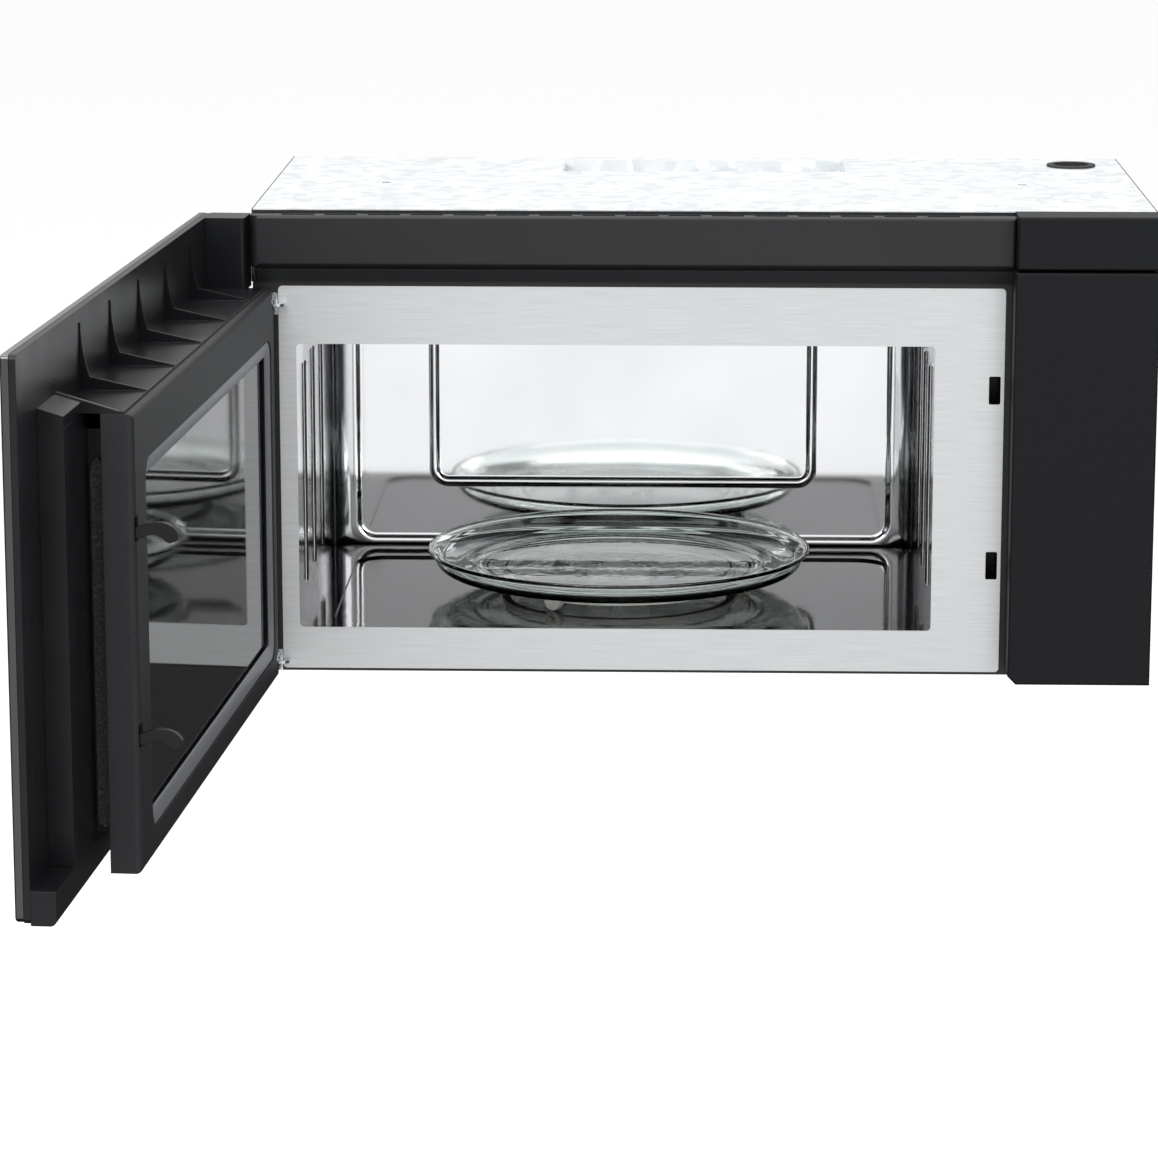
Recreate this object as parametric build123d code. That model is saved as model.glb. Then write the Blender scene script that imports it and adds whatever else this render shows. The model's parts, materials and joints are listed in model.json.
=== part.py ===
from build123d import *
import os
from math import cos, radians, sin

# Wall-hung microwave oven.  Millimetres.  X runs to the right, +Y into the wall, Z up.
# The origin is the centre of the wall plate's back face.  Two measures are used a great deal:
# front(v) is a place v in front of the steel face, and below(t) is a place t under the top.

# ---- driving dimensions: sheet and cavity ----
sheet = 1.0
cavity_width = 539.2
cavity_height = 245.3
cavity_depth = 352.0
left_border = 36.1          # left side of the case to the cavity
compartment_width = 183.7   # cavity to the right side of the case
top_space = 114.5           # top of the case to the cavity's ceiling
bottom_space = 38.2         # cavity floor to the underside
rear_space = 33.0           # cavity's back wall to the wall
plate_thickness = 2.0       # wall plate

# ---- overall sizes, which follow from those ----
body_width = left_border + cavity_width + compartment_width
body_height = top_space + cavity_height + bottom_space
body_depth = rear_space + cavity_depth
left = -body_width / 2
right = body_width / 2
top = body_height / 2
bottom = -body_height / 2
cavity_x0 = left + left_border
cavity_x1 = cavity_x0 + cavity_width
cavity_mid = (cavity_x0 + cavity_x1) / 2
ceiling_z = top - top_space
floor_z = bottom + bottom_space
back_y = -rear_space
rear_y = -plate_thickness


def front(v):
    """Y of a place v in front of the steel face."""
    return -body_depth - v


def below(t):
    """Z of a place t under the top of the case."""
    return top - t


# ---- steel face and its trim ----
face_left_gap = 21.5
face_right_over = 58.5      # steel face past the cavity's right edge
face_top_t = 65.1
face_bottom_gap = 2.4
face_corner = 3.5
slot_width = 9.8
slot_play = 7.9             # slot height beyond the lifted hook
slot_offset = 50.6          # cavity's right edge to the middle of the latch slots
upper_slot_drop = 37.2      # cavity's ceiling to the middle of the upper slot
lower_slot_rise = 57.2      # cavity's floor to the middle of the lower slot
vent_bar_depth = 17.0
vent_bar_corner = 6.0       # rounds the end that the hinge cap swings past
bezel_depth = 14.0
bezel_inset = 4.0
vent_bar_t = (3.3, 46.0)
bezel_t = 60.3
bezel_lip = 2.8             # upright lip of the sloped strip
bezel_foot_v = 3.0
trim_depth = 37.0           # blank panel and end cap on the right
trim_wall = 2.5
end_cap_width = 118.5
cover_panel_width = 120.0
end_cap_height = 44.3
cover_panel_t = 46.5
vent_slot = (27.0, 9.0)
vent_pitch = 36.0
vent_end_margin = 40.0
vent_path_t = (10.0, 40.0)

# ---- turntable ----
tray_gap = 6.0              # glass tray to the nearest cavity wall
tray_height = 22.0
tray_glass = 5.0
floor_recess = 2.0
recess_margin = (26.0, 14.0, 52.0)   # sides, front and back
roller_radius = 8.0
roller_width = 8.0
ring_inset = 66.0           # rim of the tray to the roller ring
ring_band = (7.0, 4.0)
axle_radius = 2.0
axle_clearance = 0.05
running_gap = 0.2
coupler_radius = 15.0
coupler_reach = 25.0

# ---- door ----
pivot_inset = 15.5          # left side of the case to the hinge pin
pivot_v = 4.9
door_angle = 93.64
door_right_gap = 3.0
glass_t = 4.7
glass_overhang = 5.0        # door glass below the underside
rail_overhang = 7.0
seal_gap = 1.5
choke_v = 25.0
slab_v = 38.0
bezel_v = 56.5
glass_v = 61.5
glass_thickness = 6.0
plastic_wall = 2.5
thin_wall = 2.0
window_left_inset = 11.4
window_right_over = 5.2
window_drop = 1.5
window_below = 10.2
window_step = 10.0
window_corner = 12.0
choke_t = 66.0
choke_bottom_over = 3.5
choke_left_a = 3.0
choke_right_over = 57.2     # past the cavity's right edge
pocket_width = 62.5
rail_height = 25.0
cap_width = 35.5
cap_v = 23.0
ledge_thickness = 2.0
ledge_v = 8.0
rib_count = 5
rib_thickness = 2.0
rib_first_a = 89.0
rib_last_in = 86.0          # last rib to the choke cover's free end
rib_t = (15.0, 54.0)        # top of a rib's web, and foot of its scoop
rib_root = 7.0
rib_scoop = 120.0
ridge_thickness = 4.0
ridge_t = 51.0
end_block_t = (52.0, 57.5)
neck_inset = 14.0           # choke cover's edge to the neck behind it
neck_right_in = 5.0         # further in on the latch side
neck_low_in = 4.0           # lower rail to the neck
step_depth = 4.0            # each of the window's two steps
foam_thickness = 5.0
foam_gap = 2.0
foam_margin = (8.0, 34.0)
pin_radius = 2.0
pin_clearance = 0.04
hinge_play = 0.3
ear_thickness = 2.5
arm_thickness = 3.0
upper_ear_t = 79.0
lower_ear_rise = 10.6
eye_radius = 4.4
hinge_notch = 14.8
notch_over = 9.0            # clearance above each ear, and below it
notch_under = 1.5
ear_reach = (8.0, 12.0, 11.0)   # left and right of the pin, and out of the face
pin_height = 7.0
arm_length = 60.0
arm_leaf = 30.0
arm_v = (4.0, 9.5)

# ---- latch ----
latch_lift = 4.0
hook_thickness = 5.0
hook_reach = 30.0
hook_height = 9.0
hook_crown = 3.0            # highest point of the hook above its shank
hook_top_play = 0.45        # lifted hook to the upper end of the slot
lever_v = (11.5, 19.0)
spring_radius = 3.0
spring_wire = 1.0
spring_turns = 5
spring_length = 20.0
lever_over = 18.0           # lever above the upper slot's middle
seat_gap = 0.3              # guide ribs to the lever, and boss to the spring
guide_rise = 30.0           # guide ribs from the middle of each slot
guide_height = 6.0

# ---- fan, blower and duct ----
fan_radius = 48.0
fan_x_inset = 90.0
fan_z = 20.0
fan_tip_gap = 3.0
wheel_radius = 37.0
wheel_length = 104.0
scroll_gap = 4.0
scroll_wall = 1.5
blower_y = -90.0
blower_motor_half = 52.0
scroll_space = 6.0
duct_width = 254.0
duct_depth = 82.0
duct_y = -28.0              # back edge of the duct opening
duct_gap = 1.0              # collar to the scrolls
flap_thickness = 1.2
flap_gap = 1.0

# ---- mounts ----
wall_bolt_spacing = (406.4, 220.0)
wall_bolt_radius = 4.0
cabinet_bolt_spacing = 558.8
cabinet_bolt_radius = 4.0
cabinet_bolt_y = -200.0
cord_hole_radius = 19.0
cord_hole_inset = (46.0, 60.0)

# ---- places that several pieces share ----
pivot_x = left + pivot_inset
pivot_y = front(pivot_v)
door_right = right - door_right_gap
slot_x = cavity_x1 + slot_offset
slot_zs = (ceiling_z - upper_slot_drop, floor_z + lower_slot_rise)
slot_height = hook_height + hook_crown + latch_lift + slot_play
hook_low = hook_height + hook_crown + latch_lift + hook_top_play - slot_height / 2
choke_x0 = pivot_x + choke_left_a
choke_x1 = cavity_x1 + choke_right_over
choke_z0 = bottom - choke_bottom_over
choke_z1 = below(choke_t)
window_x0 = cavity_x0 + window_left_inset
window_x1 = cavity_x1 + window_right_over
window_z0 = floor_z - window_below
window_z1 = ceiling_z - window_drop
pocket_x = door_right - pocket_width
rail_z1 = bottom - rail_overhang + rail_height
tray_radius = min(cavity_width, cavity_depth) / 2 - tray_gap
ring_radius = tray_radius - ring_inset
tray_y = front(0) + cavity_depth / 2
recess_z = floor_z - floor_recess
axle_z = recess_z + running_gap + roller_radius
tray_z = axle_z + roller_radius + running_gap
lower_ear_t = body_height - lower_ear_rise
blower_z = ceiling_z + sheet + scroll_gap + wheel_radius + scroll_wall + 1.0
scroll_radius = wheel_radius + scroll_gap
duct_height = top - sheet - (blower_z + scroll_radius + duct_gap)
fan_x = right - fan_x_inset


# ---- small makers ----
def block(x0, x1, y0, y1, z0, z1):
    """Box between two corners, in any order."""
    middle = Pos((x0 + x1) / 2, (y0 + y1) / 2, (z0 + z1) / 2)
    return middle * Box(abs(x1 - x0), abs(y1 - y0), abs(z1 - z0))


def rod(start, direction, radius, length):
    """Round bar that starts at a point and runs along a direction."""
    bar = Cylinder(radius, length, align=(Align.CENTER, Align.CENTER, Align.MIN))
    return Plane(origin=start, z_dir=direction) * bar


def rounded_slab(x0, x1, y0, y1, z0, z1, radius):
    """Upright slab with rounded corners in the XZ plane, y0 being its front."""
    middle = Plane(origin=((x0 + x1) / 2, y1, (z0 + z1) / 2), x_dir=(1, 0, 0), z_dir=(0, -1, 0))
    return extrude(middle * RectangleRounded(x1 - x0, z1 - z0, radius), y1 - y0)


def tapered_slab(x0, x1, z0, z1, radius, start_y, reach):
    """Embossed field in the XZ plane that narrows by its own depth; reach may be either way."""
    way = 1 if reach > 0 else -1
    base = Plane(origin=((x0 + x1) / 2, start_y, (z0 + z1) / 2), x_dir=(1, 0, 0), z_dir=(0, way, 0))
    return extrude(base * RectangleRounded(x1 - x0, z1 - z0, radius), abs(reach), taper=40)


def shell_box(x0, x1, y0, y1, z0, z1, wall, radius):
    """Moulded box with rounded front edges; y0 is its front and y1 its open back."""
    outer = block(x0, x1, y0, y1, z0, z1)
    outer = fillet(outer.faces().sort_by(Axis.Y)[0].edges(), radius)
    return outer - block(x0 + wall, x1 - wall, y0 + wall, y1 + wall, z0 + wall, z1 - wall)


def opened(piece):
    """A door piece, made closed, turned to where the open door stands."""
    return Pos(pivot_x, pivot_y, 0) * Rot(0, 0, -door_angle) * Pos(-pivot_x, -pivot_y, 0) * piece


# ---- case and mounting ----
def wall_mounting_plate():
    """Steel plate that is bolted to the wall and carries the oven's weight."""
    margin = 14.0
    plate = rounded_slab(left + margin, right - margin, rear_y, 0, bottom + margin, top - margin, 12)
    for x, z in wall_bolt_places():
        plate -= rod((x, rear_y - 1, z), (0, 1, 0), wall_bolt_radius, plate_thickness + 2)
    return plate


def wall_bolt_places():
    return [(x * wall_bolt_spacing[0] / 2, z * wall_bolt_spacing[1] / 2)
            for x in (-1, 1) for z in (-1, 1)]


def rear_panel():
    """Back sheet, with a round clearance for each wall bolt's head."""
    panel = block(left + sheet, right - sheet, rear_y - sheet, rear_y, bottom + sheet,
                  top - sheet)
    for x, z in wall_bolt_places():
        panel -= rod((x, rear_y - 3, z), (0, 1, 0), 3 * wall_bolt_radius, 5)
    return panel


def case_side(x0):
    return block(x0, x0 + sheet, front(-sheet), rear_y, bottom, top)


def case_top_panel():
    """Top sheet with the duct opening, the cabinet bolt holes and the cord hole."""
    panel = block(left + sheet, right - sheet, front(-sheet), rear_y, top - sheet, top)
    panel -= block(-duct_width / 2, duct_width / 2, duct_y - duct_depth, duct_y, top - 5, top + 5)
    for side in (-1, 1):
        spot = (side * cabinet_bolt_spacing / 2, cabinet_bolt_y, top - 5)
        panel -= rod(spot, (0, 0, 1), cabinet_bolt_radius, 10)
    cord = (right - cord_hole_inset[0], -cord_hole_inset[1], top - 5)
    return panel - rod(cord, (0, 0, 1), cord_hole_radius, 10)


def cord_grommet():
    """Rubber ring, grooved round the edge of the cord hole."""
    spot = (right - cord_hole_inset[0], -cord_hole_inset[1], top - 3)
    lip = 3.0
    ring = rod(spot, (0, 0, 1), cord_hole_radius + lip, 5)
    groove = rod((spot[0], spot[1], top - sheet), (0, 0, 1), cord_hole_radius + lip + 1, sheet)
    groove -= rod((spot[0], spot[1], top - 5), (0, 0, 1), cord_hole_radius, 10)
    return ring - groove - rod((spot[0], spot[1], top - 5), (0, 0, 1), cord_hole_radius - lip, 10)


filter_size = (260.0, 120.0, 7.0)
filter_lip = 5.0
filter_y = -170.0
filter_xs = (cavity_x0 + 120.0, cavity_x1 - 150.0)
lens_size = (58.0, 46.0)
lens_y = front(-55)
lens_xs = (cavity_x0 + 110.0, cavity_x1 - 110.0)
intake_slots = 12
intake_pitch = 9.0
intake_slot = (3.2, 40.0)
intake_right = 30.0
intake_behind = 80.0         # middle of the filters to the slots
screw_inset = 12.0
screw_radius = 1.8
screw_clearance = 0.05
screw_head = (4.0, 2.2)
screw_rows = (-30.0, -body_depth / 2, front(-30))


def base_panel():
    """Underside with filter openings, lamp openings and the cooling air's inlet slots."""
    panel = block(left + sheet, right - sheet, front(-sheet), rear_y, bottom, bottom + sheet)
    for x in filter_xs:
        wide = filter_size[0] / 2 - filter_lip
        deep = filter_size[1] / 2 - filter_lip
        panel -= block(x - wide, x + wide, filter_y - deep, filter_y + deep, bottom - 5, bottom + 5)
    for x in lens_xs:
        wide, deep = lens_size[0] / 2, lens_size[1] / 2
        panel -= block(x - wide, x + wide, lens_y - deep, lens_y + deep, bottom - 5, bottom + 5)
    for step in range(intake_slots):
        x = right - intake_right - step * intake_pitch
        y = filter_y + intake_behind
        panel -= block(x - intake_slot[0] / 2, x + intake_slot[0] / 2, y, y + intake_slot[1],
                       bottom - 5, bottom + 5)
    for x, y in screw_places():
        panel -= rod((x, y, bottom - 1), (0, 0, 1), screw_radius + screw_clearance, 4)
    return panel


def screw_places():
    return [(x, y) for x in (left + screw_inset, right - screw_inset) for y in screw_rows]


def base_screws():
    """Pan-head screws, driven up from below."""
    screws = []
    for x, y in screw_places():
        head = rod((x, y, bottom - screw_head[1]), (0, 0, 1), *screw_head)
        head = fillet(head.edges().sort_by(Axis.Z)[0], 1.2)
        head -= block(x - 0.6, x + 0.6, y - 2.6, y + 2.6, bottom - 3, bottom - 1.2)
        head -= block(x - 2.6, x + 2.6, y - 0.6, y + 0.6, bottom - 3, bottom - 1.2)
        screws.append(head + rod((x, y, bottom), (0, 0, 1), screw_radius, 8))
    return Compound(screws)


def grease_filters():
    """Aluminium mesh pads, each with a folded rim and a pull tab."""
    pads = []
    for x in filter_xs:
        wide, deep = filter_size[0] / 2, filter_size[1] / 2
        z0 = bottom + sheet
        pad = block(x - wide, x + wide, filter_y - deep, filter_y + deep, z0, z0 + filter_size[2])
        pad = fillet(pad.edges().filter_by(Axis.Z), 6)
        rim = 8.0
        hollow = block(x - wide + rim, x + wide - rim, filter_y - deep + rim, filter_y + deep - rim,
                       z0 - 1, z0 + 1.5)
        tab = block(x - 12, x + 12, filter_y - deep + rim - 2, filter_y - deep + rim + 6,
                    bottom - 1.5, z0 + 2)
        pads.append(pad - hollow + tab)
    return Compound(pads)


def cooktop_lamp_lenses():
    """Frosted lenses that drop into the underside from above."""
    lenses = []
    for x in lens_xs:
        wide, deep = lens_size[0] / 2 - 0.4, lens_size[1] / 2 - 0.4
        body = block(x - wide, x + wide, lens_y - deep, lens_y + deep, bottom - 0.5, bottom + 4)
        flange = block(x - wide - 4, x + wide + 4, lens_y - deep - 4, lens_y + deep + 4,
                       bottom + sheet, bottom + 4)
        hollow = block(x - wide + 2, x + wide - 2, lens_y - deep + 2, lens_y + deep - 2,
                       bottom + 1.5, bottom + 5)
        lenses.append(body + flange - hollow)
    return Compound(lenses)


# ---- front ----
def latch_slots(y0, y1, width, height):
    """The two upright slots as solids, to be cut from what the hooks pass."""
    slots = [rounded_slab(slot_x - width / 2, slot_x + width / 2, y0, y1, z - height / 2,
                          z + height / 2, 1.5) for z in slot_zs]
    return Compound(slots)


def front_chassis():
    """Plain steel front that carries the cavity, the face and the trim."""
    y0, y1 = front(-sheet), front(-2 * sheet)
    chassis = block(left + sheet, right - sheet, y0, y1, bottom + sheet, top - sheet)
    chassis -= block(cavity_x0 - sheet, cavity_x1 + sheet, y0 - 1, y1 + 1, floor_z - sheet,
                     ceiling_z + sheet)
    chassis -= block(left + vent_end_margin, right - end_cap_width - vent_end_margin, y0 - 1,
                     y1 + 1, below(vent_path_t[0]), below(vent_path_t[1]))
    return chassis - latch_slots(y0 - 1, y1 + 1, slot_width + 2, slot_height + 2)


def front_plate():
    """Brushed stainless face round the cavity, with the latch slots."""
    x0, x1 = left + face_left_gap, cavity_x1 + face_right_over
    z0, z1 = bottom + face_bottom_gap, below(face_top_t)
    plate = rounded_slab(x0, x1, front(0), front(-sheet), z0, z1, face_corner)
    plate -= rounded_slab(cavity_x0, cavity_x1, front(1), front(-2), floor_z, ceiling_z,
                          face_corner)
    return plate - latch_slots(front(1), front(-2), slot_width, slot_height)


def vent_bar():
    """Moulded bar along the top, with outlet louvres in its upper side."""
    x1 = right - end_cap_width
    z0, z1, y0 = below(vent_bar_t[1]), below(vent_bar_t[0]), front(vent_bar_depth)
    bar = shell_box(left, x1, y0, front(-sheet), z0, z1, thin_wall, 3)
    corner = block(left, left + vent_bar_corner, y0, y0 + vent_bar_corner, z0, z1)
    bar -= corner - rod((left + vent_bar_corner, y0 + vent_bar_corner, z0), (0, 0, 1),
                        vent_bar_corner, z1 - z0)
    liner = rod((left + vent_bar_corner, y0 + vent_bar_corner, z0), (0, 0, 1), vent_bar_corner,
                z1 - z0) & corner
    bar += liner - rod((left + vent_bar_corner, y0 + vent_bar_corner, z0 + thin_wall), (0, 0, 1),
                       vent_bar_corner - thin_wall, z1 - z0 - 2 * thin_wall)
    count = int((x1 - left - 2 * vent_end_margin) / vent_pitch)
    y = front(vent_bar_depth / 2)
    for step in range(count + 1):
        x = left + vent_end_margin + step * vent_pitch
        bar -= block(x - vent_slot[0] / 2, x + vent_slot[0] / 2, y - vent_slot[1] / 2,
                     y + vent_slot[1] / 2, z1 - 4, z1 + 1)
    return bar


def bezel_strip():
    """Sloped strip that leads from the vent bar down to the steel face."""
    x0, x1 = left + bezel_inset, right - cover_panel_width
    strip_t = vent_bar_t[1] + bezel_lip
    back, root = front(-sheet), front(bezel_depth / 2)
    outline = [(back, below(vent_bar_t[1])), (root, below(vent_bar_t[1])), (root, below(strip_t)),
               (front(bezel_depth), below(strip_t)), (front(bezel_foot_v), below(bezel_t)),
               (back, below(bezel_t))]
    side = Plane(origin=(x0, 0, 0), x_dir=(0, 1, 0), z_dir=(1, 0, 0))
    return extrude(side * make_face(Polyline(outline, close=True)), x1 - x0)


def vent_end_cap():
    return shell_box(right - end_cap_width, right, front(trim_depth), front(-sheet),
                     below(end_cap_height), top, trim_wall, 2)


def right_cover_panel():
    """Blank moulded panel over the electrical compartment."""
    x0 = right - cover_panel_width
    panel = block(x0, right, front(trim_depth), front(-sheet), bottom, below(cover_panel_t))
    corner = panel.edges().filter_by(Axis.Y).group_by(Axis.Z)[0].sort_by(Axis.X)[0]
    panel = chamfer(corner, 7)
    panel = fillet(panel.faces().sort_by(Axis.Y)[0].edges(), 2)
    inner = block(x0 + trim_wall, right - trim_wall, front(trim_depth - trim_wall), front(-5),
                  bottom + trim_wall + 7, below(cover_panel_t) - trim_wall)
    return panel - inner


# ---- cavity ----
wall_rib = (12.0, 2.0)
wall_rib_ys = (front(-70), front(-150), front(-230))
wall_rib_margin = 26.0
inlet_patches = (
    {"back": 48.0, "length": 130.0, "drop": 20.0, "height": 40.0},
    {"back": cavity_depth - 136.0, "length": 108.0, "drop": 95.0, "height": 74.0},
)
inlet_hole = 1.6
inlet_pitch = 6.0


def cavity_side(x_inner, outward):
    """Side wall; its ribs stand into the oven."""
    wall = block(x_inner, x_inner + outward * sheet, front(-sheet), back_y, floor_z - sheet,
                 ceiling_z + sheet)
    for y in wall_rib_ys:
        rib = block(x_inner + outward * sheet / 2, x_inner - outward * wall_rib[1],
                    y - wall_rib[0] / 2, y + wall_rib[0] / 2, floor_z + wall_rib_margin,
                    ceiling_z - wall_rib_margin)
        face = rib.faces().sort_by(Axis.X)[0 if outward > 0 else -1]
        wall += chamfer(face.edges(), wall_rib[1] * 0.9)
    return wall


def cavity_left_wall():
    return cavity_side(cavity_x0, -1)


def cavity_right_wall():
    """Right wall with its two fields of air holes."""
    wall = cavity_side(cavity_x1, 1)
    holes = []
    for patch in inlet_patches:
        columns = int(patch["length"] / inlet_pitch)
        rows = int(patch["height"] / inlet_pitch)
        for column in range(columns):
            y = front(-patch["back"]) + (column + 0.5) * inlet_pitch
            if min(abs(y - rib_y) for rib_y in wall_rib_ys) < wall_rib[0] / 2 + inlet_hole:
                continue
            for row in range(rows):
                shift = 0.25 if column % 2 else -0.25
                z = ceiling_z - patch["drop"] - (row + 0.5 + shift) * inlet_pitch
                holes.append(rod((cavity_x1 - 1, y, z), (1, 0, 0), inlet_hole, sheet + 2))
    return wall - holes


feed_hole = (80.0, 54.0)
feed_x = cavity_x1 - 100.0
feed_y = -190.0
guide_size = (86.0, 40.0)   # across and high, outside
guide_wall = 1.2
mica_size = (104.0, 76.0)


def cavity_ceiling():
    sheet_top = block(cavity_x0, cavity_x1, front(-sheet), back_y, ceiling_z, ceiling_z + sheet)
    return sheet_top - block(feed_x - feed_hole[0] / 2, feed_x + feed_hole[0] / 2,
                             feed_y - feed_hole[1] / 2, feed_y + feed_hole[1] / 2,
                             ceiling_z - 2, ceiling_z + 3)


def cavity_floor():
    """Floor with its shallow dished field, in which the roller ring runs."""
    x0, x1 = cavity_x0 + recess_margin[0], cavity_x1 - recess_margin[0]
    y0, y1 = front(-recess_margin[1]), back_y - recess_margin[2]
    middle = ((x0 + x1) / 2, (y0 + y1) / 2)
    floor = block(cavity_x0, cavity_x1, front(-sheet), back_y, floor_z - sheet, floor_z)
    dish = Pos(middle[0], middle[1], floor_z) * RectangleRounded(x1 - x0, y1 - y0, 30)
    pan = Pos(middle[0], middle[1], floor_z) * RectangleRounded(x1 - x0 + 2 * sheet,
                                                               y1 - y0 + 2 * sheet, 31)
    floor += extrude(pan, -(floor_recess + sheet), taper=0)
    floor -= extrude(dish, -floor_recess, taper=0)
    return floor - rod((cavity_mid, tray_y, recess_z - 3), (0, 0, 1), 6, 6)


dish_margin = (20.5, 19.5, 4.0, 18.0)    # left, right, floor and ceiling
dish_depth = 3.0
dish_corner = 19.0
field_margin = (94.5, 60.0, 36.0)        # sides, floor and ceiling
field_height = 2.5
field_corner = 12.0


def cavity_back_wall():
    """Back wall, dished outwards, with a raised field in its middle."""
    wall = block(cavity_x0 - sheet, cavity_x1 + sheet, back_y, back_y + sheet, floor_z - sheet,
                 ceiling_z + sheet)
    x0, x1 = cavity_x0 + dish_margin[0], cavity_x1 - dish_margin[1]
    z0, z1 = floor_z + dish_margin[2], ceiling_z - dish_margin[3]
    wall += tapered_slab(x0 - sheet, x1 + sheet, z0 - sheet, z1 + sheet, dish_corner + sheet,
                         back_y, dish_depth + sheet)
    wall -= tapered_slab(x0, x1, z0, z1, dish_corner, back_y, dish_depth)
    side, rise, drop = field_margin
    field = (cavity_x0 + side, cavity_x1 - side, floor_z + rise, ceiling_z - drop)
    wall += tapered_slab(*field, field_corner, back_y + dish_depth, -field_height)
    return wall - tapered_slab(field[0] + sheet, field[1] - sheet, field[2] + sheet,
                               field[3] - sheet, field_corner - sheet,
                               back_y + dish_depth + sheet, -field_height)


def waveguide_cover():
    """Mica sheet under the feed hole."""
    card = block(feed_x - mica_size[0] / 2, feed_x + mica_size[0] / 2, feed_y - mica_size[1] / 2,
                 feed_y + mica_size[1] / 2, ceiling_z - 0.6, ceiling_z)
    return chamfer(card.edges().filter_by(Axis.Z), 8)


def waveguide():
    """Rectangular duct from the magnetron to the feed hole."""
    x0, x1 = feed_x - feed_hole[0] / 2 - 8, magnetron_x + 30
    y0, y1 = feed_y - guide_size[0] / 2, feed_y + guide_size[0] / 2
    z0, z1 = ceiling_z + sheet, ceiling_z + sheet + guide_size[1]
    duct = block(x0, x1, y0, y1, z0, z1)
    duct -= block(x0 + guide_wall, x1 - guide_wall, y0 + guide_wall, y1 - guide_wall,
                  z0 + guide_wall, z1 - guide_wall)
    duct -= block(feed_x - feed_hole[0] / 2, feed_x + feed_hole[0] / 2, feed_y - feed_hole[1] / 2,
                  feed_y + feed_hole[1] / 2, z0 - 1, z0 + 5)
    return duct - rod((magnetron_x, feed_y, z0 - 1), (0, 0, 1), antenna_radius + 1.5, 5)


# ---- electrical compartment ----
magnetron_x = cavity_x1 + 70.0
magnetron_size = (88.0, 66.0, 74.0)
antenna_radius = 8.0


def magnetron():
    """Yoke, cooling fins, ring magnets, filter box and antenna."""
    wide, deep, high = magnetron_size
    z1 = ceiling_z + sheet
    x0, y0, z0 = magnetron_x - wide / 2, feed_y - deep / 2, z1 - high
    yoke = block(x0, x0 + wide, y0, y0 + deep, z0, z1)
    yoke -= block(x0 + 1.6, x0 + wide - 1.6, y0 - 1, y0 + deep + 1, z0 + 1.6, z1 - 1.6)
    centre = (magnetron_x, feed_y)
    yoke += rod((*centre, z0), (0, 0, 1), 18, high)
    for z in (z0 + 1.6, z1 - 13.6):
        yoke += rod((*centre, z), (0, 0, 1), 27, 12)
    for step in range(7):
        z = z0 + 18 + step * 6
        yoke += block(x0 + 1, x0 + wide - 1, y0 + 3, y0 + deep - 3, z, z + 0.8)
    yoke += block(magnetron_x - 28, magnetron_x + 28, feed_y - 24, feed_y + 24, z0 - 28, z0)
    yoke += block(magnetron_x + 28, magnetron_x + 40, feed_y - 10, feed_y + 10, z0 - 22, z0 - 8)
    return yoke + rod((*centre, z1), (0, 0, 1), antenna_radius, 24)


board_gap = 16.0
power_board_back = 55.0     # steel face to the board's front edge
power_board_length = 190.0


def inverter_board():
    """Power board on posts, with its heat sink, transformer and capacitors."""
    x0, x1 = cavity_x1 + 14, right - 14
    y0 = front(-power_board_back)
    y1 = y0 + power_board_length
    z = bottom + sheet + board_gap
    board = block(x0, x1, y0, y1, z, z + 1.6)
    for x in (x0 + 6, x1 - 6):
        for y in (y0 + 6, y1 - 6):
            board += rod((x, y, bottom + sheet), (0, 0, 1), 3.5, board_gap)
    board += block(x0 + 10, x0 + 70, y0 + 20, y0 + 74, z + 1.6, z + 48)
    board += rod((x0 + 40, y0 + 8, z + 25), (0, 1, 0), 18, 78)
    for step in range(8):
        x = x0 + 90 + step * 6
        board += block(x, x + 1.6, y0 + 20, y0 + 120, z + 6, z + 38)
    board += block(x0 + 88, x0 + 136, y0 + 20, y0 + 120, z + 1.6, z + 6)
    for x, y in ((x0 + 24, y1 - 30), (x0 + 58, y1 - 30), (x0 + 24, y1 - 66)):
        board += rod((x, y, z + 1.6), (0, 0, 1), 12, 34)
    return board


def control_board():
    """Upright relay and control board behind the blank panel."""
    x0, x1 = right - 100, right - 8
    z0, z1 = bottom + 100, top - 130
    y = front(-13)
    board = block(x0, x1, y, y + 1.6, z0, z1)
    for x in (x0 + 5, x1 - 5):
        for z in (z0 + 5, z1 - 5):
            board += rod((x, front(-2 * sheet), z), (0, 1, 0), 3, 13 - 2 * sheet)
    for step in range(4):
        z = z0 + 18 + step * 30
        board += block(x0 + 10, x0 + 30, y + 1.6, y + 18, z, z + 16)
    board += block(x0 + 44, x0 + 80, y + 1.6, y + 30, z0 + 20, z0 + 62)
    return board + rod((x0 + 62, y + 1.6, z1 - 30), (0, 1, 0), 12, 26)


fan_plate_y = -64.0
fan_ring_depth = 22.0
fan_hub_radius = 13.0


def cooling_fan_shroud():
    """Partition with the ring that the fan turns in."""
    x0, x1 = cavity_x1 + sheet, right - sheet
    bore = fan_radius + fan_tip_gap
    plate = block(x0, x1, fan_plate_y, fan_plate_y + 2, fan_z - bore - 19, fan_z + bore + 9)
    plate += rod((fan_x, fan_plate_y, fan_z), (0, 1, 0), bore + 2, fan_ring_depth)
    return plate - rod((fan_x, fan_plate_y - 5, fan_z), (0, 1, 0), bore, fan_ring_depth + 10)


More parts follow.
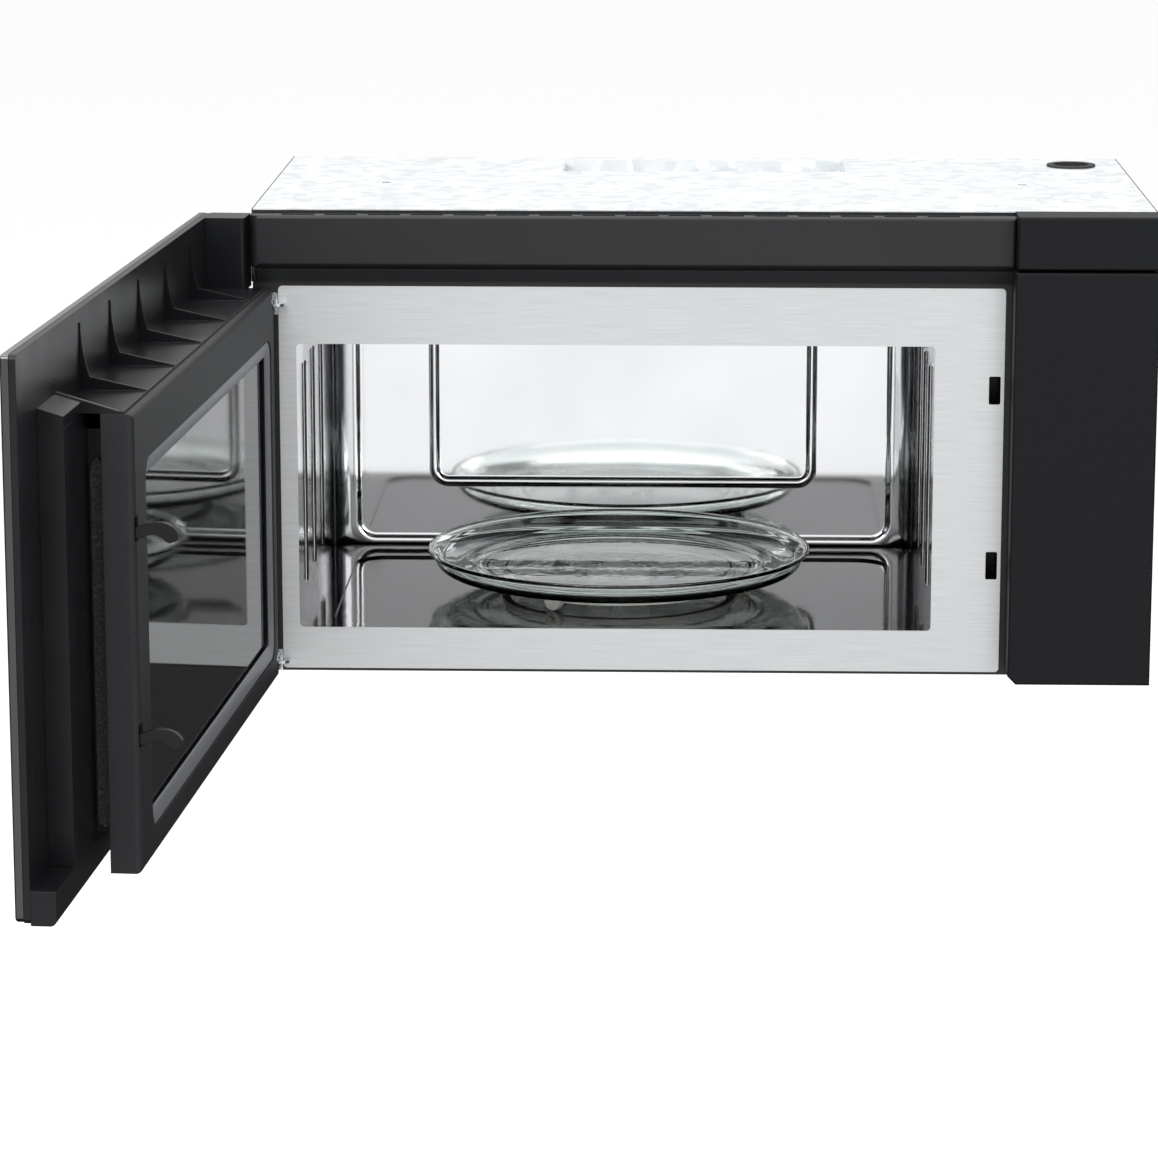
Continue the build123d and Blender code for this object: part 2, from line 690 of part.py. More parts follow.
def cooling_fan_motor():
    """Shaded-pole motor on a foot that stands on the rear panel."""
    rear = rear_y - sheet
    motor = block(fan_x - 30, fan_x + 30, -34, -16, fan_z - 24, fan_z + 24)
    motor += rod((fan_x, -40, fan_z), (0, 1, 0), 14, 24)
    for side in (-1, 1):
        motor += block(fan_x + side * 24, fan_x + side * 30, -34, rear, fan_z - 8, fan_z + 8)
    return motor - rod((fan_x, -45, fan_z), (0, 1, 0), 2 + axle_clearance, 25)


def cooling_fan_blades():
    """Five-bladed fan with its shaft."""
    y0, y1 = fan_plate_y + 4, fan_plate_y + 18
    hub = rod((fan_x, y0, fan_z), (0, 1, 0), fan_hub_radius, y1 - y0)
    hub += rod((fan_x, y0, fan_z), (0, 1, 0), 2, -28 - y0)
    hub = fillet(hub.edges().sort_by(Axis.Y)[0], 2)
    root = fan_hub_radius - 2
    blade_length = fan_radius - fan_hub_radius - 1
    blade = Rot(90, 0, 0) * Box(blade_length, 24, 1.6)
    for step in range(5):
        turned = Rot(0, step * 72, 0) * Pos(root + blade_length / 2, 0, 0) * Rot(32, 0, 0) * blade
        hub += Pos(fan_x, (y0 + y1) / 2, fan_z) * turned
    limit = rod((fan_x, y0 - 30, fan_z), (0, 1, 0), fan_radius, 100)
    return hub & limit


def latch_switch_board():
    """Moulded catch board behind the slots, open where the hooks go in."""
    x0, x1 = slot_x - 12, slot_x + 12
    y0, y1 = front(-2 * sheet), front(-2 * sheet) + 42
    board = block(x0, x1, y0, y1, slot_zs[1] - 26, slot_zs[0] + 26)
    board -= latch_slots(y0 - 1, y1 - 3, slot_width + 2, slot_height + 2)
    middle = (slot_zs[0] + slot_zs[1]) / 2
    reach = (slot_zs[0] - slot_zs[1]) / 2 - 22
    return board - block(x0 + 3, x1 - 3, y0 - 1, y1 - 6, middle - reach, middle + reach)


def microswitches():
    """Three door switches on the catch board."""
    switches = []
    x0 = slot_x + 12
    for z in (slot_zs[0] + 6, slot_zs[0] - 20, slot_zs[1] + 6):
        case = block(x0, x0 + 10, front(-10), front(-38), z - 8, z + 8)
        for y in (front(-16), front(-24), front(-32)):
            case += block(x0 + 10, x0 + 17, y - 0.4, y + 0.4, z - 3, z + 3)
        switches.append(case)
    return Compound(switches)


lamp_half = 34.0            # half of the lamp housing's length
lamp_gap = 15.0             # lamp housing to the magnetron


def oven_lamp():
    """LED lamp behind the upper field of air holes."""
    patch = inlet_patches[0]
    y = feed_y - magnetron_size[1] / 2 - lamp_gap - lamp_half
    z = ceiling_z - patch["drop"] - patch["height"] / 2
    x0 = cavity_x1 + sheet
    box = block(x0, x0 + 26, y - lamp_half, y + lamp_half, z - 24, z + 24)
    box -= block(x0 - 1, x0 + 23, y - 31, y + 31, z - 21, z + 21)
    box += block(x0 + 20, x0 + 23, y - 20, y + 20, z - 8, z + 8)
    for step in range(4):
        box += rod((x0 + 16, y - 15 + step * 10, z), (1, 0, 0), 2.4, 6)
    return box


# ---- exhaust ----
def scroll_span(side):
    """X limits of one blower scroll."""
    near = blower_motor_half + 4.0
    far = near + wheel_length + scroll_space
    return (near, far) if side > 0 else (-far, -near)


def exhaust_scrolls():
    """Two sheet scrolls, open at the ends for the air and at the top to the duct."""
    scrolls = []
    duct_floor = top - sheet - duct_height
    inner = scroll_radius - scroll_wall
    for side in (-1, 1):
        x0, x1 = scroll_span(side)
        outer = rod((x0, blower_y, blower_z), (1, 0, 0), scroll_radius, x1 - x0)
        outer += block(x0, x1, blower_y, blower_y + scroll_radius, blower_z, duct_floor)
        hollow = rod((x0 + scroll_wall, blower_y, blower_z), (1, 0, 0), inner,
                     x1 - x0 - 2 * scroll_wall)
        hollow += block(x0 + scroll_wall, x1 - scroll_wall, blower_y,
                        blower_y + scroll_radius - scroll_wall, blower_z, duct_floor + 5)
        eye = rod((x0 - 5, blower_y, blower_z), (1, 0, 0), wheel_radius * 0.7, x1 - x0 + 10)
        scroll = outer - hollow - eye
        foot_y = blower_y - 10
        scroll += block(x0, x1, foot_y, foot_y + 20, ceiling_z + sheet,
                        blower_z - scroll_radius + scroll_wall)
        scrolls.append(scroll)
    return Compound(scrolls)


def exhaust_motor():
    """Motor between the scrolls, on a foot that stands on the cavity's ceiling."""
    half = blower_motor_half
    motor = rod((-half + 6, blower_y, blower_z), (1, 0, 0), 30, 2 * half - 12)
    motor = fillet(motor.edges().filter_by(GeomType.CIRCLE), 5)
    motor += rod((-half, blower_y, blower_z), (1, 0, 0), 12, 2 * half)
    motor += block(-26, 26, blower_y - 24, blower_y + 24, ceiling_z + sheet, blower_z - 20)
    return motor - rod((-half - 1, blower_y, blower_z), (1, 0, 0), 3 + axle_clearance,
                       2 * half + 2)


def exhaust_wheels():
    """Two squirrel-cage wheels on one shaft."""
    ends = scroll_span(1)
    shaft_end = ends[1] - 6
    rotor = rod((-shaft_end, blower_y, blower_z), (1, 0, 0), 3, 2 * shaft_end)
    for side in (-1, 1):
        x0, x1 = scroll_span(side)
        x0, x1 = x0 + scroll_space / 2, x1 - scroll_space / 2
        hub_x = (x0 + x1) / 2
        rotor += rod((hub_x - 1, blower_y, blower_z), (1, 0, 0), wheel_radius, 2)
        rotor += rod((hub_x - 8, blower_y, blower_z), (1, 0, 0), 8, 16)
        for x in (x0, x1 - 2):
            rim = rod((x, blower_y, blower_z), (1, 0, 0), wheel_radius, 2)
            rotor += rim - rod((x - 1, blower_y, blower_z), (1, 0, 0), wheel_radius - 9, 4)
        for step in range(20):
            blade = Pos(hub_x, 0, wheel_radius - 5) * Rot(25, 0, 0) * Box(x1 - x0, 1.2, 7.6)
            rotor += Pos(0, blower_y, blower_z) * Rot(step * 18, 0, 0) * blade
    return rotor


def exhaust_adaptor():
    """Collar under the duct opening, with bosses for the flap's pin."""
    x0, x1 = -duct_width / 2, duct_width / 2
    y0, y1 = duct_y - duct_depth, duct_y
    z0, z1 = top - sheet - duct_height, top - sheet
    collar = block(x0 - 1.5, x1 + 1.5, y0 - 1.5, y1 + 1.5, z0, z1)
    collar -= block(x0, x1, y0, y1, z0 - 1, z1 + 1)
    pin = (flap_axis()[0], flap_axis()[1])
    return collar - rod((x0 - 5, *pin), (1, 0, 0), 1.5 + axle_clearance, x1 - x0 + 10)


def flap_axis():
    """Y and Z of the flap's pin."""
    return duct_y - 4.0, top - sheet - duct_height + 6.0


def exhaust_flap():
    """Back-draught flap that lies shut under its own weight."""
    x0, x1 = -duct_width / 2 + flap_gap, duct_width / 2 - flap_gap
    y, z = flap_axis()
    flap = block(x0, x1, duct_y - duct_depth + flap_gap, y, z - flap_thickness / 2,
                 z + flap_thickness / 2)
    pin = rod((-duct_width / 2 - 1.5, y, z), (1, 0, 0), 1.5, duct_width + 3)
    return flap + rod((x0, y, z), (1, 0, 0), 2.6, x1 - x0) + pin


def charcoal_filter():
    """Pleated charcoal pad behind the vent bar."""
    x0, x1 = left + vent_end_margin, right - end_cap_width - vent_end_margin
    z0, z1 = below(vent_path_t[1] + 5), below(vent_path_t[0] - 5)
    pad = block(x0, x1, front(-2 * sheet), front(-12), z0, z1)
    rim = 6.0
    return pad - block(x0 + rim, x1 - rim, front(0), front(-3.5), z0 + rim, z1 - rim)


# ---- turntable ----
def turntable_motor():
    """Geared motor under the floor, its shaft through the floor's hole."""
    spot = (cavity_mid, tray_y)
    z1 = recess_z - sheet
    motor = rod((*spot, z1 - 17), (0, 0, 1), 25, 17)
    motor = fillet(motor.edges().sort_by(Axis.Z)[0], 2)
    for side in (-1, 1):
        motor += block(spot[0] + side * 20, spot[0] + side * 34, spot[1] - 6, spot[1] + 6,
                       z1 - 1.2, z1)
    return motor + rod((*spot, z1), (0, 0, 1), 3.0, 10)


def turntable_coupler():
    """Three-lobed driver that turns the tray; it sits on the motor's shaft."""
    spot = (cavity_mid, tray_y)
    z0 = recess_z + 1.0
    z1 = tray_z - running_gap
    hub = rod((*spot, z0), (0, 0, 1), coupler_radius, z1 - z0)
    for step in range(3):
        angle = radians(90 + step * 120)
        lobe = Pos(*spot, (z0 + z1) / 2 + 2) * Rot(0, 0, 90 + step * 120)
        hub += lobe * Pos(coupler_reach / 2, 0, 0) * Box(coupler_reach, 12, z1 - z0 - 4)
        tip = (spot[0] + coupler_reach * cos(angle), spot[1] + coupler_reach * sin(angle), z0 + 4)
        hub += rod(tip, (0, 0, 1), 6, z1 - z0 - 4)
    return hub - rod((*spot, z0 - 1), (0, 0, 1), 3.0 + axle_clearance, 10.5)


def turntable_glass():
    """Pressed glass tray with a raised rim and three driving lugs underneath."""
    r, h, t = tray_radius, tray_height, tray_glass
    rise = [(r - 26, 0), (r - 8, 6), (r - 3, h - 5)]
    inner = [(r - 6.5, h - 4), (r - 11, 9), (r - 27, t)]
    line = Polyline([(0, t), (0, 0), rise[0]])
    line += Spline([*rise], tangents=[(1, 0.05), (0.1, 1)])
    line += Polyline([rise[-1], (r - 0.5, h - 2.5), (r, h - 1), (r - 1, h), (r - 3, h),
                      inner[0]])
    line += Spline([*inner], tangents=[(-0.1, -1), (-1, -0.05)])
    line += Polyline([inner[-1], (0, t)])
    profile = Plane.XZ * make_face(line)
    tray = revolve(profile, Axis.Z)
    for step in range(3):
        lug = Rot(0, 0, 30 + step * 120) * Pos(coupler_reach - 2, 0, -2.5)
        tray += lug * Cylinder(4, 5, align=(Align.CENTER, Align.CENTER, Align.CENTER))
    return Pos(cavity_mid, tray_y, tray_z) * tray


def roller_ring():
    """Moulded ring that carries three rollers on stub axles."""
    wide, high = ring_band
    ring = Cylinder(ring_radius, high) - Cylinder(ring_radius - wide, high)
    for step in range(3):
        stub = rod((ring_radius - wide / 2, 0, 0), (1, 0, 0), axle_radius,
                   roller_width + wide / 2 + 4)
        stub += rod((ring_radius + roller_width + 2, 0, 0), (1, 0, 0), 3, 2)
        ring += Rot(0, 0, step * 120) * stub
    return Pos(cavity_mid, tray_y, axle_z) * ring


def ring_roller(step):
    """One small wheel of the roller ring."""
    wheel = rod((ring_radius + 1, 0, 0), (1, 0, 0), roller_radius, roller_width)
    wheel = fillet(wheel.edges().filter_by(GeomType.CIRCLE), 1.2)
    wheel -= rod((ring_radius, 0, 0), (1, 0, 0), axle_radius + axle_clearance, roller_width + 4)
    return Pos(cavity_mid, tray_y, axle_z) * Rot(0, 0, step * 120) * wheel


# ---- hinges ----
def hinge_notches():
    """Round clearances in the door about the two hinges."""
    notches = []
    for ear_t in (upper_ear_t, lower_ear_t):
        t0, t1 = ear_t - notch_over, ear_t + ear_thickness + notch_under
        notches.append(rod((pivot_x, pivot_y, below(t1)), (0, 0, 1), hinge_notch, t1 - t0))
    return notches


def body_hinges():
    """Steel brackets on the case, each with an ear and an upright pin."""
    brackets = []
    for ear_t in (upper_ear_t, lower_ear_t):
        z1 = below(ear_t)
        z0 = z1 - ear_thickness
        x0 = pivot_x - ear_reach[0]
        ear = block(x0, pivot_x + ear_reach[1], front(ear_reach[2]), front(0), z0, z1)
        ear = fillet(ear.edges().filter_by(Axis.Z).sort_by(Axis.Y)[:2], 6)
        flange = block(x0 - 4, left + face_left_gap - 0.5, front(0.3), front(-sheet), z0 - 8,
                       z1 + 8)
        pin = rod((pivot_x, pivot_y, z1), (0, 0, 1), pin_radius, pin_height)
        brackets.append(ear + flange + pin)
    return Compound(brackets)


def door_hinge_arms():
    """Steel arms on the door's inner panel, each with an eye over a pin."""
    arms = []
    near_v, panel_v = arm_v
    for ear_t in (upper_ear_t, lower_ear_t):
        z0 = below(ear_t) + hinge_play
        z1 = z0 + arm_thickness
        arm = rod((pivot_x, pivot_y, z0), (0, 0, 1), eye_radius, arm_thickness)
        arm += block(pivot_x, pivot_x + arm_length, front(near_v), front(panel_v), z0, z1)
        low = ear_t == lower_ear_t
        z2, z3 = (z0 - 11, z1) if low else (z1 - 24, z1)
        arm += block(pivot_x + arm_leaf, pivot_x + arm_length, front(panel_v - 1.5),
                     front(panel_v), z2, z3)
        arm -= rod((pivot_x, pivot_y, z0 - 1), (0, 0, 1), pin_radius + pin_clearance, 10)
        arms.append(opened(arm))
    return Compound(arms)


# ---- door ----
def window_cut(x_grow, y0, y1, radius):
    return rounded_slab(window_x0 - x_grow, window_x1 + x_grow, y0, y1, window_z0 - x_grow,
                        window_z1 + x_grow, radius)


def door_glass():
    """Full-width outer pane."""
    pane = rounded_slab(left, door_right, front(glass_v + glass_thickness), front(glass_v),
                        bottom - glass_overhang, below(glass_t), 4)
    pane = chamfer(pane.faces().sort_by(Axis.Y)[0].edges(), 1.2)
    return opened(pane)


def door_bezel():
    """Flat moulded frame that the pane is bonded to."""
    frame = rounded_slab(left + 0.5, door_right - 0.5, front(glass_v), front(bezel_v),
                         bottom - glass_overhang - 1, below(glass_t + 0.3), 4)
    return opened(frame - window_cut(0, front(glass_v + 1), front(bezel_v - 1), window_corner))


def door_inner_frame():
    """Main moulding of the door's inner side: a hollow slab with a neck for the choke."""
    x0, x1 = left + 0.5, pocket_x
    z0, z1 = rail_z1, choke_z1
    slab = block(x0, x1, front(bezel_v), front(slab_v), z0, z1)
    n_x0, n_x1 = choke_x0 + neck_inset, choke_x1 - neck_inset - neck_right_in
    n_z0, n_z1 = z0 + neck_low_in, z1 - neck_inset
    slab += block(n_x0, n_x1, front(slab_v), front(choke_v), n_z0, n_z1)
    w = plastic_wall
    slab -= block(x0 + w, x1 - w, front(bezel_v + 1), front(slab_v + w), z0 + w, z1 - w)
    slab -= block(n_x0 + w, n_x1 - w, front(slab_v), front(choke_v - 1), n_z0 + w, n_z1 - w)
    sleeve = window_cut(w, front(bezel_v), front(choke_v), window_corner)
    slab += sleeve & block(x0, x1, front(bezel_v), front(choke_v), z0, z1)
    slab -= window_cut(0, front(bezel_v + 1), front(choke_v - 1), window_corner)
    return opened(slab)


def door_lower_rail():
    """Hollow moulding along the door's lower edge."""
    x0, x1 = left + 0.5, door_right - 0.5
    rail = block(x0, x1, front(bezel_v), front(slab_v), bottom - rail_overhang, rail_z1)
    lower = rail.faces().sort_by(Axis.Z)[0].edges().filter_by(Axis.X).sort_by(Axis.Y)[-1]
    rail = fillet(lower, 5)
    w = plastic_wall
    return opened(rail - block(x0 + w, x1 - w, front(bezel_v + 1), front(slab_v + w),
                               bottom - rail_overhang + w, rail_z1 - w))


def door_rib_xs():
    """Places of the ribs, evenly spaced between the hinge cap and the end ridge."""
    first = pivot_x + rib_first_a
    last = choke_x1 - rib_last_in
    return [first + (last - first) * step / (rib_count - 1) for step in range(rib_count)]


def door_rib(x):
    """Thin web with a scooped back, standing on the ledge against the bezel."""
    side = Plane(origin=(x - rib_thickness / 2, 0, 0), x_dir=(0, 1, 0), z_dir=(1, 0, 0))
    v0, ledge_top = bezel_v, choke_t - ledge_thickness
    head, foot = (front(v0 - 1), below(rib_t[0])), (front(v0 - rib_root), below(rib_t[1]))
    line = Polyline([head, (front(v0), below(rib_t[0])), (front(v0), below(ledge_top)),
                     (front(ledge_v), below(ledge_top)), (front(ledge_v), below(ledge_top - 1)),
                     foot])
    line += RadiusArc(foot, head, rib_scoop)
    return extrude(side * make_face(line), rib_thickness)


def door_upper_frame():
    """Ledge over the choke, its ribs, the end ridge and the block beside the pocket."""
    x0 = left + cap_width
    x_ridge = choke_x1
    z1 = below(choke_t - ledge_thickness)
    ledge = block(x0, x_ridge, front(bezel_v), front(ledge_v), choke_z1, z1)
    for x in door_rib_xs():
        ledge += door_rib(x)
    side = Plane(origin=(x_ridge - ridge_thickness, 0, 0), x_dir=(0, 1, 0), z_dir=(1, 0, 0))
    ridge = [(front(bezel_v), below(ridge_t)), (front(bezel_v), choke_z1),
             (front(ledge_v), choke_z1), (front(ledge_v), below(choke_t - 1))]
    ledge += extrude(side * make_face(Polyline(ridge, close=True)), ridge_thickness)
    side = Plane(origin=(x_ridge, 0, 0), x_dir=(0, 1, 0), z_dir=(1, 0, 0))
    end = [(front(bezel_v), below(end_block_t[0])), (front(bezel_v), choke_z1),
           (front(slab_v), choke_z1), (front(slab_v), below(end_block_t[1]))]
    ledge += extrude(side * make_face(Polyline(end, close=True)), pocket_x - x_ridge)
    return opened(ledge)


def door_hinge_cap():
    """Hollow moulding over the door's upper hinge corner."""
    x0, x1 = left + 0.5, left + cap_width
    cap = block(x0, x1, front(bezel_v), front(cap_v), choke_z1, below(glass_t + 0.3))
    cap = fillet(cap.edges().filter_by(Axis.Z).sort_by(Axis.Y)[-2:], 3)
    w = plastic_wall
    return opened(cap - block(x0 + w, x1 - w, front(bezel_v + 1), front(cap_v + w),
                              choke_z1 + w, below(glass_t + 0.3) - w))


def choke_cover():
    """Moulded cover over the choke, stepped down to the window."""
    y0, y1 = front(choke_v), front(seal_gap)
    cover = block(choke_x0, choke_x1, y0, y1, choke_z0, choke_z1)
    cover = fillet(cover.faces().sort_by(Axis.Y)[-1].edges(), 5)
    w = thin_wall
    cover -= block(choke_x0 + w, choke_x1 - w, y0 + w, front(seal_gap + w), choke_z0 + w,
                   choke_z1 - w)
    cover -= block(choke_x0 + neck_inset, choke_x1 - neck_inset - neck_right_in,
                   front(choke_v + 1), front(choke_v - w - 1), rail_z1 + neck_low_in,
                   choke_z1 - neck_inset)
    step_v = seal_gap + step_depth
    cover += window_cut(window_step + w, front(step_v + w), front(seal_gap + 0.5),
                        window_corner + 6)
    cover -= window_cut(window_step, front(step_v), front(seal_gap - 1), window_corner + 4)
    cover -= window_cut(0, front(step_v + step_depth), front(seal_gap - 1), window_corner)
    for z in slot_zs:
        cover -= rounded_slab(slot_x - 4.5, slot_x + 4.5, front(seal_gap + 4), front(-1),
                              z - hook_low - 2, z + hook_height - hook_low + latch_lift + 3, 1.5)
    for notch in hinge_notches():
        cover -= notch
    return opened(cover + latch_seats())


def latch_seats():
    """Ribs that guide the lever, and the boss that holds the spring's upper end."""
    wall_x = choke_x1 - thin_wall / 2
    lever_x = slot_x + hook_thickness / 2 + seat_gap
    seats = []
    for z in (slot_zs[0] - guide_rise, slot_zs[1] + guide_rise):
        seats.append(block(lever_x, wall_x, front(lever_v[1] + 1), front(lever_v[0] - 1),
                           z - guide_height / 2, z + guide_height / 2))
    boss_z = slot_zs[0] + lever_over + spring_length + seat_gap
    seats.append(block(slot_x - spring_radius - 1, wall_x, front(lever_v[1]), front(lever_v[0]),
                       boss_z, boss_z + guide_height / 2))
    return seats


def window_film():
    """Glossy inner pane behind the choke cover's step."""
    pane = window_cut(8, front(9.5), front(seal_gap + 6), window_corner)
    return opened(pane)


def door_steel_panel():
    """Enamelled steel panel with its folded choke channel."""
    x0, x1 = choke_x0 + 4, choke_x1 - 16
    z0, z1 = choke_z0 + 5, choke_z1 - 5
    panel = block(x0, x1, front(10.5), front(9.5), z0, z1)
    outer = block(x0 + 8, x1, front(21), front(10.5), z0 + 8, z1 - 8)
    panel += outer - block(x0 + 9, x1 - 1, front(22), front(9), z0 + 9, z1 - 9)
    for notch in hinge_notches():
        panel -= notch
    return opened(panel)


def touch_board():
    """Touch sensor board behind the pane's control area."""
    x0, x1 = choke_x1 + 8, pocket_x - 6
    board = block(x0, x1, front(bezel_v), front(bezel_v - 1.6), rail_z1 + 14, choke_z1 - 20)
    board += block(x0 + 8, x0 + 24, front(bezel_v - 1.6), front(bezel_v - 5), rail_z1 + 120,
                   rail_z1 + 136)
    return opened(board + block(x0 + 6, x1 - 6, front(bezel_v - 1.6), front(bezel_v - 7),
                                rail_z1 + 20, rail_z1 + 32))


def door_foam_strip():
    """Foam seal along the free side of the neck."""
    x0 = choke_x1 - neck_inset - neck_right_in
    return opened(block(x0, x0 + foam_thickness, front(slab_v - foam_gap),
                        front(choke_v + foam_gap), rail_z1 + foam_margin[0],
                        choke_z1 - foam_margin[1]))


def latch_hooks():
    """One lever with two hooks that reach through the choke cover."""
    x0 = slot_x - hook_thickness / 2
    z_low, z_high = slot_zs[1] - 14, slot_zs[0] + lever_over
    side = Plane(origin=(x0, 0, 0), x_dir=(0, 1, 0), z_dir=(1, 0, 0))
    lever = block(x0, x0 + hook_thickness, front(lever_v[1]), front(lever_v[0]), z_low, z_high)
    for z in slot_zs:
        z0 = z - hook_low
        tip = seal_gap - hook_reach
        line = Polyline([(front(lever_v[0] + 1), z0 + hook_height), (front(lever_v[0] + 1), z0),
                         (front(-4), z0 + 1)])
        line += Spline([(front(-4), z0 + 1), (front(tip + 16), z0 + 3), (front(tip + 10), z0 - 1.5)])
        line += Polyline([(front(tip + 10), z0 - 1.5), (front(tip + 6), z0 - 3),
                          (front(tip + 1), z0 - 1), (front(tip), z0 + 4)])
        line += Spline([(front(tip), z0 + 4), (front(tip + 6), z0 + hook_height + 1),
                        (front(tip + 18), z0 + hook_height + hook_crown),
                        (front(0), z0 + hook_height),
                        (front(lever_v[0] + 1), z0 + hook_height)])
        lever += extrude(side * make_face(line), hook_thickness)
    return opened(lever)


def latch_spring():
    """Coil spring that pulls the latch lever down."""
    z0 = slot_zs[0] + lever_over
    v = (lever_v[0] + lever_v[1]) / 2
    rise = spring_length - spring_wire
    path = Helix(pitch=rise / spring_turns, height=rise, radius=spring_radius)
    section = Plane(origin=path @ 0, z_dir=path % 0) * Circle(spring_wire / 2)
    coil = sweep(section, path=path, is_frenet=True)
    return opened(Pos(slot_x, front(v), z0 + spring_wire / 2) * coil)


# ---- every node, by name ----
nodes = {
    "wall_mounting_plate": wall_mounting_plate(),
    "rear_panel": rear_panel(),
    "case_top_panel": case_top_panel(),
    "case_left_panel": case_side(left),
    "case_right_panel": case_side(right - sheet),
    "base_panel": base_panel(),
    "base_screws": base_screws(),
    "cord_grommet": cord_grommet(),
    "grease_filters": grease_filters(),
    "cooktop_lamp_lenses": cooktop_lamp_lenses(),
    "front_chassis": front_chassis(),
    "front_plate": front_plate(),
    "vent_bar": vent_bar(),
    "bezel_strip": bezel_strip(),
    "vent_end_cap": vent_end_cap(),
    "right_cover_panel": right_cover_panel(),
    "cavity_left_wall": cavity_left_wall(),
    "cavity_right_wall": cavity_right_wall(),
    "cavity_ceiling": cavity_ceiling(),
    "cavity_floor": cavity_floor(),
    "cavity_back_wall": cavity_back_wall(),
    "waveguide_cover": waveguide_cover(),
    "waveguide": waveguide(),
    "magnetron": magnetron(),
    "inverter_board": inverter_board(),
    "control_board": control_board(),
    "cooling_fan_shroud": cooling_fan_shroud(),
    "cooling_fan_motor": cooling_fan_motor(),
    "cooling_fan_blades": cooling_fan_blades(),
    "latch_switch_board": latch_switch_board(),
    "microswitches": microswitches(),
    "oven_lamp": oven_lamp(),
    "exhaust_scrolls": exhaust_scrolls(),
    "exhaust_motor": exhaust_motor(),
    "exhaust_wheels": exhaust_wheels(),
    "exhaust_adaptor": exhaust_adaptor(),
    "exhaust_flap": exhaust_flap(),
    "charcoal_filter": charcoal_filter(),
    "turntable_motor": turntable_motor(),
    "turntable_coupler": turntable_coupler(),
    "turntable_glass": turntable_glass(),
    "roller_ring": roller_ring(),
    "ring_roller_1": ring_roller(0),
    "ring_roller_2": ring_roller(1),
    "ring_roller_3": ring_roller(2),
    "body_hinges": body_hinges(),
    "door_hinge_arms": door_hinge_arms(),
    "door_glass": door_glass(),
    "door_bezel": door_bezel(),
    "door_inner_frame": door_inner_frame(),
    "door_lower_rail": door_lower_rail(),
    "door_upper_frame": door_upper_frame(),
    "door_hinge_cap": door_hinge_cap(),
    "choke_cover": choke_cover(),
    "window_film": window_film(),
    "door_steel_panel": door_steel_panel(),
    "touch_board": touch_board(),
    "door_foam_strip": door_foam_strip(),
    "latch_hooks": latch_hooks(),
    "latch_spring": latch_spring(),
}

os.makedirs("parts", exist_ok=True)
for name, piece in nodes.items():
    export_step(piece, f"parts/{name}.step")
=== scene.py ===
import json
from math import cos, pi, radians, sin

import bmesh
import bpy
from mathutils import Matrix, Vector


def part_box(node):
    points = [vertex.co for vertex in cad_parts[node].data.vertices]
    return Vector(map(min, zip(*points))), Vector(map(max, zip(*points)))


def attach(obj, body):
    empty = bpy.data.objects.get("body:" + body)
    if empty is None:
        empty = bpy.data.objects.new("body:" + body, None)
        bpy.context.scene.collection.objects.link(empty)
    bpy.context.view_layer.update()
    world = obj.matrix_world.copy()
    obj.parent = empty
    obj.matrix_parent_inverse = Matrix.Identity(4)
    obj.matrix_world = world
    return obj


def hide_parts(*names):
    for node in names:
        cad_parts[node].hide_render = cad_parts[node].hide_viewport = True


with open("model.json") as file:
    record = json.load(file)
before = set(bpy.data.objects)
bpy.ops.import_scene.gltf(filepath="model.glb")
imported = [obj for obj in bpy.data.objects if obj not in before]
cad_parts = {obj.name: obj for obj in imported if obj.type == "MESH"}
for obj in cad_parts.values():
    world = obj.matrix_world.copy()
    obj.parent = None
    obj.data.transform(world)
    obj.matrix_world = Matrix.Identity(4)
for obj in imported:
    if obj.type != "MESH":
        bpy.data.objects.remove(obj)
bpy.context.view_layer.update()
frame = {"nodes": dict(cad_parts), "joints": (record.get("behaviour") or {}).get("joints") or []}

# ---- Zinc-coated sheet ----
# The wall plate, back, top, air ducts and the door's inner panel are 1 to 2 mm steel sheet.
# It is hot-dip galvanised, cut and folded, and left bare, so the zinc's crystals show.
mm = 0.001
spangle = 11 * mm


def linear(code):
    """An sRGB hex colour as linear red, green, blue and alpha."""
    shares = [int(code[place:place + 2], 16) / 255 for place in (1, 3, 5)]
    return [s / 12.92 if s <= 0.04045 else ((s + 0.055) / 1.055) ** 2.4 for s in shares] + [1.0]


def add(tree, kind, settings, links):
    """Adds a node. Its settings are properties, unlinked sockets or a ramp's stops, and its links
    say which output feeds each of its sockets."""
    made = tree.nodes.new(kind)
    for key, value in settings.items():
        if key == "stops":
            for stop, (spot, code) in zip(made.color_ramp.elements, value):
                stop.position = spot
                stop.color = linear(code)
        elif isinstance(key, str) and hasattr(made, key):
            setattr(made, key, value)
        else:
            made.inputs[key].default_value = value
    for key, source in links.items():
        tree.links.new(source, made.inputs[key])
    return made


def new_material(name, settings):
    """A material, its node tree, and the piece's own coordinates in metres."""
    made = bpy.data.materials.new(name)
    made.use_nodes = True
    shader = made.node_tree.nodes["Principled BSDF"]
    for key, value in settings.items():
        shader.inputs[key].default_value = value
    place = add(made.node_tree, "ShaderNodeTexCoord", {}, {}).outputs["Object"]
    return made, made.node_tree, place


def feed(tree, links):
    """Links outputs to the sockets of the material's shader."""
    for key, source in links.items():
        tree.links.new(source, tree.nodes["Principled BSDF"].inputs[key])


def dress(material, names):
    """Gives CAD nodes a material."""
    for name in names:
        frame["nodes"][name].data.materials.clear()
        frame["nodes"][name].data.materials.append(material)


